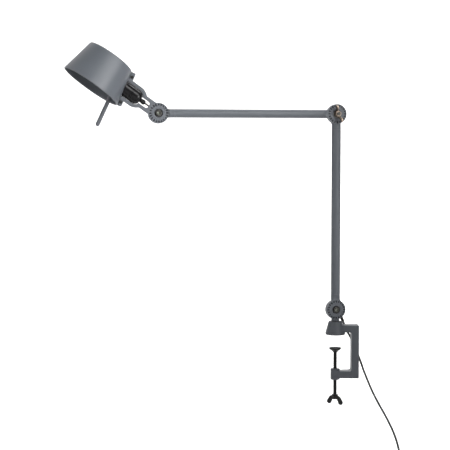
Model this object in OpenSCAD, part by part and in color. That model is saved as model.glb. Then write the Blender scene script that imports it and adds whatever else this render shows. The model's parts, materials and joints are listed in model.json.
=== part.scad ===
// Swing arm desk lamp with a screw clamp, two tube arms, three disc joints and a drum shade.
// Millimetres. Z = 0 is the table top, and the Z axis is the swivel axis of the lamp.
// The arms lie in one upright plane through the Z axis, turned from the clamp by arm_swing.

/* [Pose] */
// Turn of the arm plane from the clamp
arm_swing = 13; // [-60:1:60]
// Drop of the upper arm below the level
upper_arm_drop = 0.5; // [-20:0.5:30]
// Rise of the lamp holder's axis above the level
head_rise = 35; // [0:1:60]
// Turn of the clamp screw's wings
wing_turn = -38; // [-90:1:90]
// Turn of the elbow wing nut from upright
elbow_nut_turn = -20; // [-90:1:90]

/* [Arms] */
// Height of the lowest joint above the table
lower_pivot_z = 56.5; // [55:0.5:70]
// Lower arm, from joint to joint
lower_arm_l = 438; // [250:1:600]
// Upper arm, from joint to joint
upper_arm_l = 402; // [250:1:600]
// Diameter of the lower arm's tube
lower_tube_d = 20.5; // [18:0.5:24]
// Diameter of the upper arm's tube
upper_tube_d = 19; // [18:0.5:24]
// Wall of both tubes
tube_wall = 1.5; // [1:0.1:2.5]
// Length of a joint casting from its pivot to the tube's end
knuckle_l = 35; // [33:0.5:45]
// Depth of a casting's spigot in its tube
spigot_l = 18; // [14:0.5:30]
// Diameter of the leads in the tubes
lead_d = 4; // [3:0.1:4.5]
// Diameter of the set screws that hold the tubes
set_screw_d = 4; // [3:0.5:5]

/* [Joints] */
// Diameter of a joint disc
disc_d = 44; // [42:0.5:48]
// Thickness of one joint disc
disc_t = 6.5; // [6:0.1:8]
// Thickness of the friction disc between two joint discs
friction_t = 1; // [0.6:0.1:1.6]
// Number of notches round a joint disc
notch_count = 20; // [12:1:24]
// Width of a notch
notch_w = 2.8; // [2:0.1:3.2]
// Depth of a notch
notch_depth = 1.2; // [0.6:0.1:1.8]
// Diameter of the recess at a disc's centre
recess_d = 18.5; // [17.5:0.1:20]
// Depth of the recess at a disc's centre
recess_depth = 3.5; // [2.5:0.1:4]
// Diameter of the joint bolts
bolt_d = 8; // [6:0.5:8]
// Height of a bolt's round head
bolt_head_h = 6; // [4:0.5:8]
// Span of a wing nut
wing_nut_span = 40; // [34:0.5:42]

/* [Clamp] */
// Widest table top that the clamp takes
throat_h = 87.8; // [80:0.5:110]
// Reach from the swivel axis to the inside of the bar
throat_reach = 35.5; // [34:0.5:60]
// Width of the clamp's bar
bar_w = 17; // [12:0.5:22]
// Depth of the clamp's bar along the table edge
bar_depth = 28; // [24:0.5:30]
// Thickness of the clamp's two arms
arm_t = 16; // [13:0.5:20]
// Height of the upper arm's underside above the table
upper_arm_z = 6; // [5:0.5:10]
// Diameter of the cone's foot
cone_foot_d = 45; // [43:0.5:50]
// Diameter of the cone's top
cone_top_d = 31; // [29:0.5:34]
// Height of the cone's top above the table
cone_h = 30; // [29:0.5:31]
// Thickness of the rubber pad under the cone
table_pad_t = 1.5; // [1:0.1:2.5]
// Diameter of the swivel spindle
swivel_d = 10; // [9:0.5:11]
// Diameter of the clamp screw
screw_d = 8.5; // [7:0.5:10]
// Diameter of the clamp screw's pad
screw_pad_d = 27; // [24:0.5:32]
// Thickness of the table top in the clamp
table_t = 30; // [20:0.5:40]
// Length of the screw from its pad to its wing head
screw_l = 106; // [104:0.5:120]

/* [Head] */
// Distance from the head joint to the shade's wall
wall_reach = 89; // [86:0.5:95]
// Diameter of the shade's opening
shade_open_d = 135; // [128:1:150]
// Diameter of the shade's closed end
shade_top_d = 107; // [100:1:120]
// Height of the shade
shade_h = 77.5; // [74:0.5:90]
// Thickness of the shade's sheet
shade_t = 1.5; // [1:0.1:2]
// Half width of the yoke's neck
neck_half = 15; // [14:0.1:16]
// Half width of the yoke round the lamp holder
fork_half = 23.6; // [23:0.1:25]
// Width of the yoke's prongs
prong_w = 7.6; // [6:0.1:8]
// Diameter of the lamp holder
holder_d = 31; // [28:0.5:31]
// Diameter of the handle rod
rod_d = 9; // [7:0.5:10]
// Length of the handle rod below the shade's rim
rod_out = 62; // [30:1:80]
// Diameter of the bulb
bulb_d = 45; // [40:1:46]

/* [Cord] */
// Diameter of the cord
cord_d = 5; // [4:0.1:6]
// Mean diameter of the tied coil
coil_d = 55; // [50:1:60]
// Thickness of the coil's bundle
bundle_d = 15; // [13:0.5:17]
// Distance between the plug's pins
pin_pitch = 18.6; // [18.6:0.1:19.2]

/* [Hidden] */
$fn = 64;

// Clearances: a running fit on the radius, and the play between bodies that pass each other.
fit = 0.05;
play = 0.3;
eps = 0.01;

paint = [0.36, 0.38, 0.40];
clamp_paint = [0.31, 0.33, 0.35];
steel = [0.72, 0.71, 0.68];
black = [0.06, 0.06, 0.065];
rubber = [0.12, 0.12, 0.125];
brass = [0.72, 0.58, 0.32];
opal = [0.95, 0.94, 0.90];

// Places of the joints in the arm plane.
elbow_z = lower_pivot_z + lower_arm_l;
head_x = -upper_arm_l * cos(upper_arm_drop);
head_z = elbow_z - upper_arm_l * sin(upper_arm_drop);

// Joint stack, measured along the joint axis from its middle plane.
disc_r = disc_d / 2;
disc_in = friction_t / 2;
disc_out = disc_in + disc_t;
floor_y = disc_out - recess_depth;
clear_r = disc_r + 0.5;
notch_r = 18.4;
notch_l = 4.6;
spring_washer_t = 2;
washer_t = 1.5;
washer_r = 8.5;
nut_y = floor_y + spring_washer_t + washer_t;
nut_hub_h = 9;
bolt_end = nut_y + nut_hub_h + 3;
bolt_r = bolt_d / 2;
bolt_head_r = bolt_r + 2.5;
hex_key = 6;

// Cone and swivel.
foot_z = table_pad_t;
cone_step = 1.2;
bush_flange = 1;
bush_wall = 2;
bush_r = swivel_d / 2 + fit + bush_wall;
neck_r = 9;
well_r = 12;
well_top = 12;
lock_nut_h = 6.5;
lock_nut_af = 13;
post_z = cone_h + bush_flange;

// Clamp frame.
bar_x = throat_reach + bar_w;
frame_top = upper_arm_z + arm_t;
frame_bottom = upper_arm_z - throat_h - arm_t;
boss_r = 10.5;
boss_over = 4.6;
outer_corner = 2.5;
inner_corner = 4;

// Clamp screw and pad, from the pad's face down.
facing_t = 1.2;
pad_z = -table_t;
cup_top = pad_z - facing_t;
cup_h = 8;
pin_r = 2.5;
head_r = 4.5;
head_h = 1.4;
cup_floor = cup_top - head_h - play;
shoulder_z = cup_top - cup_h - 0.1;
wing_z = pad_z - screw_l;
tip_r = 5.6;
tip_out = 15;
tip_drop = 17.5;

// Head: local X runs along the lamp holder's axis, local Z towards the shade's opening.
plate_y = -(disc_in + disc_out) / 2;
mean_r = (shade_open_d + shade_top_d) / 4;
shade_x = wall_reach + mean_r;
wall_slope = (shade_open_d - shade_top_d) / 2 / shade_h;
shade_corner = 4;
shoulder_r = 27;
shoulder_end = 61;
window_x = 26;
fork_gap = 0.8;
holder_dome = 10;
lug_z = 28.5;
lug_half = 9.8;
lug_l = 9.5;
lug_corner = 3;
lug_hole_off = 4.5;
lug_screw_d = 4;
ear_t = 2.5;
holder_x = 48;
cap_l = 25;
cap_step = 0.7;
holder_end = wall_reach + 13;
holder_wall = 2;
insulator_r = holder_d / 2 - holder_wall - cap_step;
grip_core_r = 4;
grip_l = 12.5;
rod_off = 20.5;
rod_top_z = 25.5;
bracket_t = 2.5;
stud_r = 2.5;
stud_l = 8;
insulator_x = 66;
insulator_l = 14;
shell_x = insulator_x + insulator_l;
shell_r = 7.8;
cap_r = 7;
cap_tip_x = shell_x + 1.5;
bulb_l = 78;
bulb_cap_l = 22;

// Route of the free cord from the gland to the coil.
cord_points = [
    [19.5, 18, 27], [24, 19.5, 17], [29.5, 20.5, 4], [36.5, 21, -9], [43.5, 21.5, -24],
    [50, 22, -39], [56, 22, -54], [62, 22, -70], [67.5, 22, -86], [73.5, 22, -101],
    [80, 22, -117], [87, 22, -133], [95, 22, -149], [103.5, 22, -165], [112, 22, -180],
    [120, 22, -194.5], [128, 22, -210], [135.5, 22, -226], [142, 22, -243], [147, 22, -260],
    [150.5, 22, -277], [152, 22, -292], [152.5, 22, -305], [152.5, 22, -318]];
coil_at = [125, 22, -324];
// Route of the short end from the coil to the plug.
tail_points = [
    [152.5, 22, -330], [152.5, 22, -343], [151, 22, -356], [148, 22, -369], [146, 22, -382]];
tie_w = 16;
tie_t = 1.2;
gland_l = 20;
gland_in = 4.5;
gland_wall = 4;
gland_r = 4.2;
gland_tip_r = cord_d / 2 + 0.5;
gland_boss_r = 6;
plug_l = 36;
plug_w = 26;
plug_t = 13.7;
plug_pin_d = 4;
plug_pin_l = 19;

function unit(v) = v / norm(v);
function heading(p, i) = unit(p[min(i + 1, len(p) - 1)] - p[max(i - 1, 0)]);
function ring_point(c, t, r, a) =
    let (side = unit(cross(t, [0, 1, 0])), up = cross(side, t))
    c + r * (cos(a) * side + sin(a) * up);
// Distance of the shade's outer wall from the head joint at a height z.
function wall_x(z) = wall_reach - wall_slope * z;

// A round cord along a route, as one closed sweep. Its first face is square to start.
module sweep(route, r, start, sides = 10) {
    last = len(route) - 1;
    points = [for (i = [0:last]) for (k = [0:sides - 1])
        ring_point(route[i], i == 0 ? start : heading(route, i), r, 360 * k / sides)];
    walls = [for (i = [0:last - 1]) for (k = [0:sides - 1])
        let (a = i * sides + k, b = i * sides + (k + 1) % sides)
        [a, b, b + sides, a + sides]];
    polyhedron(points, concat(
        [[for (k = [sides - 1:-1:0]) k]],
        walls,
        [[for (k = [0:sides - 1]) last * sides + k]]));
}

// Stands children on a point, with their Z axis along a direction.
module aim(at, direction) {
    d = unit(direction);
    translate(at) rotate([0, acos(d[2]), atan2(d[1], d[0])]) children();
}

// Frames of the sub-assemblies.
module arm_plane() {
    rotate([0, 0, arm_swing]) children();
}
module at_lower_joint() {
    arm_plane() translate([0, 0, lower_pivot_z]) children();
}
module at_elbow() {
    arm_plane() translate([0, 0, elbow_z]) children();
}
module at_head() {
    arm_plane() translate([head_x, 0, head_z]) children();
}
// Local Z runs from the elbow along the upper arm.
module along_upper_arm() {
    at_elbow() rotate([0, -90 - upper_arm_drop, 0]) children();
}
// Local X runs along the lamp holder's axis, in the middle of the yoke's plate.
module in_head() {
    at_head() rotate([0, 180 + head_rise, 0]) translate([0, plate_y, 0]) children();
}

// Cylinder along Y between two places.
module y_rod(r, y0, y1) {
    translate([0, y0, 0]) rotate([-90, 0, 0]) cylinder(r = r, h = y1 - y0);
}
// Cylinder along X between two places.
module x_rod(r, x0, x1) {
    translate([x0, 0, 0]) rotate([0, 90, 0]) cylinder(r = r, h = x1 - x0);
}
// Plate whose outline is drawn in X and Z.
module y_plate(y0, y1) {
    translate([0, y1, 0]) rotate([90, 0, 0]) linear_extrude(y1 - y0) children();
}
module hex(af, h) {
    cylinder(r = af / sqrt(3), h = h, $fn = 6);
}
// Rectangle with round corners, from its lowest corner.
module soft_square(size, r) {
    translate([r, 0]) square([size[0] - 2 * r, size[1]]);
    translate([0, r]) square([size[0], size[1] - 2 * r]);
    for (x = [r, size[0] - r]) for (y = [r, size[1] - r]) translate([x, y]) circle(r);
}

// Outline of a disc with a neck of half width w, with concave fillets between them.
module disc_and_neck(w, reach, fillet) {
    cy = sqrt(pow(disc_r + fillet, 2) - pow(w + fillet, 2));
    circle(disc_r);
    translate([-w, 0]) square([2 * w, reach]);
    difference() {
        polygon([[-w - fillet, cy], [w + fillet, cy],
            [(w + fillet) * disc_r / (disc_r + fillet), cy * disc_r / (disc_r + fillet)],
            [0, cy / 2],
            [-(w + fillet) * disc_r / (disc_r + fillet), cy * disc_r / (disc_r + fillet)]]);
        for (s = [-1, 1]) translate([s * (w + fillet), cy]) circle(fillet);
    }
}

// Ring of notches in a disc's outer face.
module notch_ring() {
    for (i = [0:notch_count - 1]) rotate(i * 360 / notch_count)
        translate([notch_r - notch_l / 2, -notch_w / 2]) square([notch_l, notch_w]);
}

// Cuts that every joint disc has, on the side of negative Y.
module disc_cuts() {
    y_rod(bolt_r + fit, -disc_out - 5, disc_out + 5);
    y_rod(recess_d / 2, -disc_out - 5, -floor_y);
    y_plate(-disc_out - 5, notch_depth - disc_out) notch_ring();
}

// Limits a casting's flat part, so that it runs into the round neck in a turned hollow.
module shoulder_profile(r, z) {
    hollow = 5;
    difference() {
        translate([0, -disc_d]) square([disc_d, disc_d + z]);
        translate([r + hollow, z]) circle(hollow);
        translate([r + hollow, z - hollow]) square([disc_d, hollow + 1]);
    }
}

// Joint casting at one end of an arm: a disc on the side of negative Y, a scooped neck along Z,
// and a spigot that carries the tube.
module knuckle(tube_d, screw_side = 1) {
    r = tube_d / 2;
    scoop_r = 9;
    flat_l = clear_r + 1.5;
    difference() {
        union() {
            intersection() {
                y_plate(-disc_out, -disc_in) disc_and_neck(r, flat_l, 4);
                rotate_extrude() shoulder_profile(r, flat_l);
            }
            cylinder(r = r, h = knuckle_l);
            translate([0, 0, knuckle_l - eps])
                cylinder(r = r - tube_wall - fit, h = spigot_l + eps);
        }
        y_rod(clear_r, -disc_in, r + 1);
        translate([-r - 1, -r - 1, -clear_r]) cube([2 * r + 2, r + 1 - disc_out, clear_r + flat_l]);
        translate([-r - 1, -disc_out - scoop_r, flat_l]) rotate([0, 90, 0])
            cylinder(r = scoop_r, h = 2 * r + 2);
        disc_cuts();
        translate([0, 0, disc_r]) cylinder(r = lead_d / 2 + 0.2, h = knuckle_l + spigot_l);
        translate([0, 0, knuckle_l + spigot_l / 2]) rotate([0, 0, screw_side > 0 ? 0 : 180])
            y_rod(set_screw_d / 2, 0, r);
    }
}
// The same casting with its disc on the side of positive Y.
module knuckle_far(tube_d) {
    mirror([0, 1, 0]) knuckle(tube_d, -1);
}

// Tube of an arm, with the set screws' holes on its far side.
module arm_tube(tube_d, arm_l) {
    r = tube_d / 2;
    difference() {
        translate([0, 0, knuckle_l]) cylinder(r = r, h = arm_l - 2 * knuckle_l);
        cylinder(r = r - tube_wall, h = arm_l);
        for (z = [knuckle_l + spigot_l / 2, arm_l - knuckle_l - spigot_l / 2])
            translate([0, 0, z]) y_rod(set_screw_d / 2, 0, r + 1);
    }
}
module arm_set_screws(tube_d, arm_l) {
    r = tube_d / 2;
    for (end = [0, 1])
        translate([0, 0, end == 0 ? knuckle_l + spigot_l / 2 : arm_l - knuckle_l - spigot_l / 2])
            difference() {
                y_rod(set_screw_d / 2, lead_d / 2 + 0.6, r - 0.3);
                translate([0, r - 2, 0]) rotate([-90, 0, 0]) hex(set_screw_d / 2, 3);
            }
}

// Bolt with a round head that lies in the recess on the side of negative Y.
module joint_bolt(end_y) {
    difference() {
        union() {
            y_rod(bolt_head_r, -floor_y - bolt_head_h, -floor_y);
            y_rod(bolt_r, -floor_y - eps, end_y);
        }
        translate([0, -floor_y - bolt_head_h - eps, 0]) rotate([-90, 0, 0]) hex(hex_key, 3.5);
    }
}
module friction_disc() {
    difference() {
        y_rod(disc_r - 2.5, -disc_in, disc_in);
        y_rod(bolt_r + fit, -2, 2);
    }
}
// Spring washer and flat washer in the recess on the side of positive Y.
module joint_washers() {
    difference() {
        union() {
            y_rod(washer_r - 1, floor_y, floor_y + spring_washer_t);
            y_rod(washer_r, floor_y + spring_washer_t, nut_y);
        }
        y_rod(bolt_r + fit, 0, bolt_end);
    }
}
// Wing nut on the side of positive Y, with its wings along Z.
module wing_nut() {
    lobe_r = 5;
    lobe_x = wing_nut_span / 2 - lobe_r;
    lobe_y = nut_y + 15;
    difference() {
        union() {
            translate([0, nut_y, 0]) rotate([-90, 0, 0]) cylinder(r1 = 8, r2 = 6.2, h = nut_hub_h);
            for (s = [-1, 1]) translate([-1.7, 0, 0]) rotate([90, 0, 90]) linear_extrude(3.4) {
                translate([lobe_y, s * lobe_x]) circle(lobe_r);
                polygon([[nut_y + 2, 0], [nut_y + 2, s * 7], [lobe_y - 4.4, s * (lobe_x + 2.4)],
                    [lobe_y + 3.6, s * (lobe_x - 3.5)], [nut_y + nut_hub_h - 1, s * 5.2],
                    [nut_y + nut_hub_h - 1, 0]]);
            }
        }
        y_rod(bolt_r + fit, 0, bolt_end + 20);
    }
}

// Clamp: a square-cornered C with the turned cone on its upper arm and a boss on its lower arm.
module clamp_frame() {
    color(clamp_paint) difference() {
        union() {
            intersection() {
                y_plate(-bar_depth / 2, bar_depth / 2) difference() {
                    translate([-boss_r, frame_bottom])
                        soft_square([bar_x + boss_r, frame_top - frame_bottom], outer_corner);
                    translate([-boss_r - 40, frame_bottom + arm_t])
                        soft_square([throat_reach + boss_r + 40, throat_h], inner_corner);
                    translate([-boss_r - eps, frame_bottom - 1]) square([boss_r, throat_h + 2 * arm_t + 2]);
                }
                translate([0, 0, frame_bottom - 1]) linear_extrude(frame_top - frame_bottom + 2) {
                    polygon([[0, -boss_r], [throat_reach, -bar_depth / 2], [throat_reach, bar_depth / 2],
                        [0, boss_r]]);
                    translate([throat_reach - 4, -bar_depth / 2])
                        soft_square([bar_w + 4, bar_depth], 2);
                }
            }
            cone();
            translate([0, 0, frame_bottom - boss_over]) rotate_extrude()
                boss_profile(arm_t + 2 * boss_over);
        }
        translate([0, 0, foot_z - eps]) cylinder(r = well_r, h = well_top - foot_z + eps);
        cylinder(r = bush_r, h = cone_h + 1);
        translate([0, 0, frame_bottom - boss_over - 1])
            cylinder(r = screw_d / 2 + fit, h = arm_t + 2 * boss_over + 2);
    }
}
module cone() {
    foot_r = cone_foot_d / 2;
    top_r = cone_top_d / 2;
    rotate_extrude() polygon([[0, foot_z], [foot_r - 0.6, foot_z], [foot_r, foot_z + 0.6],
        [foot_r - 0.5, foot_z + 3], [top_r, cone_h - cone_step], [top_r - cone_step, cone_h],
        [0, cone_h]]);
}
module boss_profile(h) {
    r = 2;
    square([boss_r - r, h]);
    translate([0, r]) square([boss_r, h - 2 * r]);
    for (y = [r, h - r]) translate([boss_r - r, y]) circle(r);
}
module table_pad() {
    color(rubber) cylinder(d = cone_foot_d - 2, h = table_pad_t);
}
module swivel_bush() {
    color(black) difference() {
        union() {
            translate([0, 0, well_top]) cylinder(r = bush_r, h = cone_h - well_top + eps);
            translate([0, 0, cone_h]) cylinder(r = neck_r, h = bush_flange);
        }
        cylinder(r = swivel_d / 2 + fit, h = cone_h + 5);
    }
}
module swivel_washer() {
    color(steel) translate([0, 0, well_top - washer_t]) difference() {
        cylinder(r = well_r - 2, h = washer_t);
        translate([0, 0, -1]) cylinder(r = bolt_d / 2 + fit, h = 4);
    }
}
module swivel_nut() {
    color(steel) translate([0, 0, well_top - washer_t - lock_nut_h]) difference() {
        hex(lock_nut_af, lock_nut_h);
        translate([0, 0, -1]) cylinder(r = bolt_d / 2 + fit, h = lock_nut_h + 2);
    }
}

// Post that turns in the cone. Its disc lies on the far side of the lowest joint.
gland_aim = unit(cord_points[0] - cord_points[1]);
gland_mouth = cord_points[0] + gland_l * gland_aim;
module swivel_post() {
    boss_l = gland_in + gland_wall;
    color(paint) difference() {
        union() {
            at_lower_joint() mirror([0, 1, 0]) y_plate(-disc_out, -disc_in) circle(disc_r);
            difference() {
                translate([0, 0, post_z]) cylinder(r = neck_r, h = lower_pivot_z - post_z);
                at_lower_joint() y_rod(clear_r, -neck_r - 1, disc_in);
                at_lower_joint() translate([0, disc_out + 9, -10]) rotate([0, 90, 0])
                    cylinder(r = 9, h = 30, center = true);
                at_lower_joint() translate([-15, disc_out, -10]) cube([30, 9, 20]);
            }
            translate([0, 0, well_top]) cylinder(r = swivel_d / 2, h = post_z - well_top + eps);
            translate([0, 0, foot_z + 1.5]) cylinder(r = bolt_d / 2, h = well_top - foot_z);
            difference() {
                union() {
                    aim(gland_mouth + boss_l * gland_aim, -gland_aim)
                        cylinder(r = gland_boss_r, h = boss_l);
                    translate(gland_mouth + boss_l / 2 * gland_aim) rotate([90, 0, arm_swing])
                        cylinder(r = boss_l / 2, h = gland_boss_r + 3);
                }
                at_lower_joint() y_rod(disc_d, -disc_d, disc_out - 1);
            }
        }
        at_lower_joint() mirror([0, 1, 0]) disc_cuts();
        at_lower_joint() y_rod(recess_d / 2, floor_y, disc_d);
        aim(gland_mouth + gland_in * gland_aim, -gland_aim)
            cylinder(r = gland_r, h = gland_in + 10);
    }
}
// Tapered gland, cut level at its tip so that it turns on the level end of the cord. The taper is
// turned so that its seam stays off the cut.
module cord_gland() {
    over = 2 * gland_tip_r;
    exit = cord_points[0];
    color(rubber) difference() {
        aim(gland_mouth + gland_in * gland_aim, -gland_aim) {
            cylinder(r = gland_r - fit, h = gland_in + eps);
            translate([0, 0, gland_in]) cylinder(r = gland_r + 1, h = 1.5);
            translate([0, 0, gland_in + 1.5 - eps]) rotate(90)
                cylinder(r1 = gland_r, r2 = gland_tip_r, h = gland_l - 1.5 + over + eps);
        }
        translate(exit - [gland_l, gland_l, 3 * over])
            cube([2 * gland_l, 2 * gland_l, 3 * over]);
    }
}

// Lowest joint.
module lower_friction_disc() {
    color(black) at_lower_joint() friction_disc();
}
module lower_joint_washer() {
    color(steel) at_lower_joint() joint_washers();
}
module lower_joint_nut() {
    dome_r = 6.3;
    color(steel) at_lower_joint() difference() {
        union() {
            translate([0, nut_y, 0]) rotate([-90, 0, 0]) hex(lock_nut_af, lock_nut_h);
            translate([0, nut_y + lock_nut_h, 0]) sphere(dome_r);
        }
        y_rod(bolt_r + fit, 0, nut_y + lock_nut_h + 2);
        y_rod(dome_r + 2, nut_y - dome_r, nut_y);
    }
}
module lower_joint_bolt() {
    color(steel) at_lower_joint() joint_bolt(nut_y + lock_nut_h + 1);
}

// Lower arm.
module lower_arm_foot() {
    color(paint) at_lower_joint() knuckle(lower_tube_d);
}
module lower_arm_tube() {
    color(paint) at_lower_joint() arm_tube(lower_tube_d, lower_arm_l);
}
module lower_arm_top() {
    color(paint) at_elbow() mirror([0, 0, 1]) knuckle_far(lower_tube_d);
}
module lower_arm_lead() {
    color(black) at_lower_joint() translate([0, 0, disc_r + 4])
        cylinder(d = lead_d, h = lower_arm_l - 2 * disc_r - 8);
}
module lower_arm_screws() {
    color(steel) at_lower_joint() arm_set_screws(lower_tube_d, lower_arm_l);
}

// Elbow: the bolt's head is on the far side and the wing nut on the near side.
module elbow_bolt() {
    color(steel) at_elbow() mirror([0, 1, 0]) joint_bolt(bolt_end);
}
module elbow_friction_disc() {
    color(black) at_elbow() friction_disc();
}
module elbow_washer() {
    color(steel) at_elbow() mirror([0, 1, 0]) joint_washers();
}
module elbow_wing_nut() {
    color(steel) at_elbow() rotate([0, elbow_nut_turn, 0]) mirror([0, 1, 0]) wing_nut();
}

// Upper arm.
module upper_arm_foot() {
    color(paint) along_upper_arm() knuckle(upper_tube_d);
}
module upper_arm_tube() {
    color(paint) along_upper_arm() arm_tube(upper_tube_d, upper_arm_l);
}
module upper_arm_top() {
    color(paint) along_upper_arm() translate([0, 0, upper_arm_l]) mirror([0, 0, 1])
        knuckle_far(upper_tube_d);
}
module upper_arm_lead() {
    color(black) along_upper_arm() translate([0, 0, disc_r + 4])
        cylinder(d = lead_d, h = upper_arm_l - 2 * disc_r - 8);
}
module upper_arm_screws() {
    color(steel) along_upper_arm() arm_set_screws(upper_tube_d, upper_arm_l);
}

// Head joint: the bolt's head is on the near side and the wing nut on the far side.
module head_friction_disc() {
    color(black) at_head() friction_disc();
}
module head_washer() {
    color(steel) at_head() joint_washers();
}
module head_wing_nut() {
    color(steel) at_head() rotate([0, -head_rise, 0]) wing_nut();
}
module head_bolt() {
    color(steel) at_head() joint_bolt(bolt_end);
}

// Points of an arc after its first one.
function arc(c, r, from, to, steps) =
    [for (i = [1:steps]) c + r * [cos(from + (to - from) * i / steps),
        sin(from + (to - from) * i / steps)]];
function mirrored(points) = [for (i = [len(points) - 1:-1:0]) [points[i][0], -points[i][1]]];
function both_sides(half) = concat(half, mirrored(half));

// Half the outline of a lug, from the prong round its rounded back corner to past the wall.
function lug_points(s) =
    let (w = atan(wall_slope), c = cos(w), d = sin(w), r = lug_corner,
        foot = [wall_x(s * lug_z), s * lug_z],
        at = function (p) [foot[0] + p[0] * c - p[1] * d, foot[1] + p[0] * d + p[1] * c],
        start = (s * (fork_half - lug_z) + lug_l * d) / c)
    concat([at([-lug_l, start])],
        [for (p = arc([r - lug_l, s * (lug_half - r)], r, 180, 180 - s * 90, 6)) at(p)],
        [at([2, s * lug_half])]);

// One side of the yoke in local X and Z, from the back of the disc to the wall of the shade.
// The neck leaves the disc, and the prong sweeps out round the lamp holder in one shoulder.
function yoke_side(s) =
    let (foot_r = 5, bend_r = 4,
        shoulder = [shoulder_end, fork_half - shoulder_r],
        foot = [sqrt(pow(disc_r + foot_r, 2) - pow(neck_half + foot_r, 2)), neck_half + foot_r],
        rise = neck_half + bend_r - shoulder[1],
        bend = [shoulder[0] - sqrt(pow(shoulder_r + bend_r, 2) - pow(rise, 2)),
            neck_half + bend_r],
        foot_angle = atan2(foot[1], foot[0]),
        bend_angle = atan2(bend[1] - shoulder[1], bend[0] - shoulder[0]),
        side = concat(arc([0, 0], disc_r, 180 - 1, foot_angle, 40),
            arc(foot, foot_r, foot_angle + 180, 270, 6),
            arc(bend, bend_r, 270, 180 + bend_angle, 6),
            arc(shoulder, shoulder_r, bend_angle, 90, 12)))
    concat([for (p = side) [p[0], s * p[1]]], lug_points(s));

module yoke_outline() {
    lower = yoke_side(-1);
    polygon(concat(yoke_side(1), [for (i = [len(lower) - 1:-1:0]) lower[i]]));
}
// Room for the lamp holder between the prongs, with a running gap all round it.
module holder_pocket() {
    r = holder_dome + fork_gap;
    pocket_half = fork_half - prong_w;
    polygon(both_sides(concat(
        arc([holder_x + holder_dome, pocket_half - r], r, 181, 90, 12),
        [[wall_reach + 20, pocket_half]])));
}
module yoke() {
    color(paint) in_head() difference() {
        union() {
            y_plate(-disc_t / 2, disc_t / 2) difference() {
                yoke_outline();
                holder_pocket();
                translate([window_x, prong_w - neck_half])
                    soft_square([shoulder_end - window_x, 2 * (neck_half - prong_w)], 5);
            }
        }
        translate([0, -plate_y, 0]) disc_cuts();
        x_rod(lead_d / 2 + 0.2, disc_r, window_x + 4);
        for (s = [-1, 1]) lug_place(s) y_rod(lug_screw_d / 2 + fit, -10, 10);
        shade_outer(play);
    }
}
// Middle of a lug's hole; s is 1 on the opening's side and -1 on the closed side.
module lug_place(s) {
    translate([wall_x(s * lug_z) - lug_hole_off, 0, s * lug_z]) children();
}
// Lug parallel to the shade's wall, drawn in X and Z.
module yoke_screws() {
    color(steel) in_head() for (s = [-1, 1]) lug_place(s) difference() {
        union() {
            y_rod(lug_screw_d / 2, -disc_t / 2 - 1, disc_t / 2 + ear_t + 4);
            y_rod(3.5, -disc_t / 2 - 2.2, -disc_t / 2);
        }
        translate([0, -disc_t / 2 - 2.2 - eps, 0]) rotate([-90, 0, 0]) hex(2.5, 1.6);
    }
}
module yoke_nuts() {
    color(steel) in_head() for (s = [-1, 1]) lug_place(s) difference() {
        translate([0, disc_t / 2 + ear_t, 0]) rotate([-90, 0, 0]) hex(7, 3.2);
        y_rod(lug_screw_d / 2 + fit, 0, 20);
    }
}

// Body of revolution of the shade, grown by g, closed at negative Z.
module shade_outer(g = 0) {
    top_r = shade_top_d / 2 + g;
    open_r = shade_open_d / 2 + g;
    c = shade_corner;
    translate([shade_x, 0, 0]) rotate_extrude() {
        polygon([[0, -shade_h / 2 - g], [top_r - c, -shade_h / 2 - g],
            [top_r, c - shade_h / 2 - g], [open_r, shade_h / 2], [0, shade_h / 2]]);
        translate([top_r - c - 0.02, c - shade_h / 2 - g]) circle(c);
    }
}
module shade_inner() {
    top_r = shade_top_d / 2 - shade_t;
    open_r = shade_open_d / 2 - shade_t;
    c = shade_corner - shade_t;
    translate([shade_x, 0, 0]) rotate_extrude() {
        polygon([[0, shade_t - shade_h / 2], [top_r - c, shade_t - shade_h / 2],
            [top_r, shade_t + c - shade_h / 2], [open_r, shade_h / 2 + 1], [0, shade_h / 2 + 1]]);
        translate([top_r - c - 0.02, shade_t + c - shade_h / 2]) circle(c);
    }
}
module shade() {
    color(paint) in_head() difference() {
        union() {
            shade_outer();
            for (s = [-1, 1]) ear(s);
        }
        shade_inner();
        x_rod(holder_d / 2 + fit, holder_x, shade_x);
        for (s = [-1, 1]) lug_place(s) y_rod(lug_screw_d / 2 + fit, 0, 20);
    }
}
// Ear welded to the wall behind a lug of the yoke.
module ear(s) {
    y_plate(disc_t / 2, disc_t / 2 + ear_t) translate([wall_x(s * lug_z) - lug_l + 1, s * lug_z - 7])
        soft_square([lug_l + 4, 14], 3);
}

// Lamp holder, from its cord grip to its ring inside the shade.
module holder_cap() {
    r = holder_d / 2 - cap_step;
    dome = holder_dome;
    color(black) in_head() difference() {
        translate([holder_x, 0, 0]) rotate([0, 90, 0]) rotate_extrude() {
            square([r - dome, cap_l]);
            translate([0, dome]) square([r, cap_l - dome]);
            intersection() {
                square([r, dome]);
                translate([r - dome, dome]) circle(dome);
            }
        }
        x_rod(insulator_r, holder_x + 8, holder_x + cap_l + 1);
        x_rod(grip_core_r + fit, holder_x - 1, holder_x + 10);
    }
}
module holder_sleeve() {
    r = holder_d / 2;
    color(black) in_head() difference() {
        x_rod(r, holder_x + cap_l, holder_end);
        x_rod(insulator_r + fit, holder_x + cap_l - 1, holder_end - 2);
        x_rod(shell_r + 1, holder_end - 3, holder_end + 1);
    }
}
module holder_ring() {
    color(black) in_head() difference() {
        intersection() {
            x_rod(holder_d / 2 + 3, wall_reach - 6, holder_end - 3);
            shade_inner();
        }
        x_rod(holder_d / 2 + fit, 0, holder_end + 1);
    }
}
module holder_insulator() {
    color(opal) in_head() difference() {
        x_rod(insulator_r - fit, holder_x + cap_l - 7, shell_x);
        x_rod(2, insulator_x + 4, shell_x + 1);
    }
}
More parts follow.
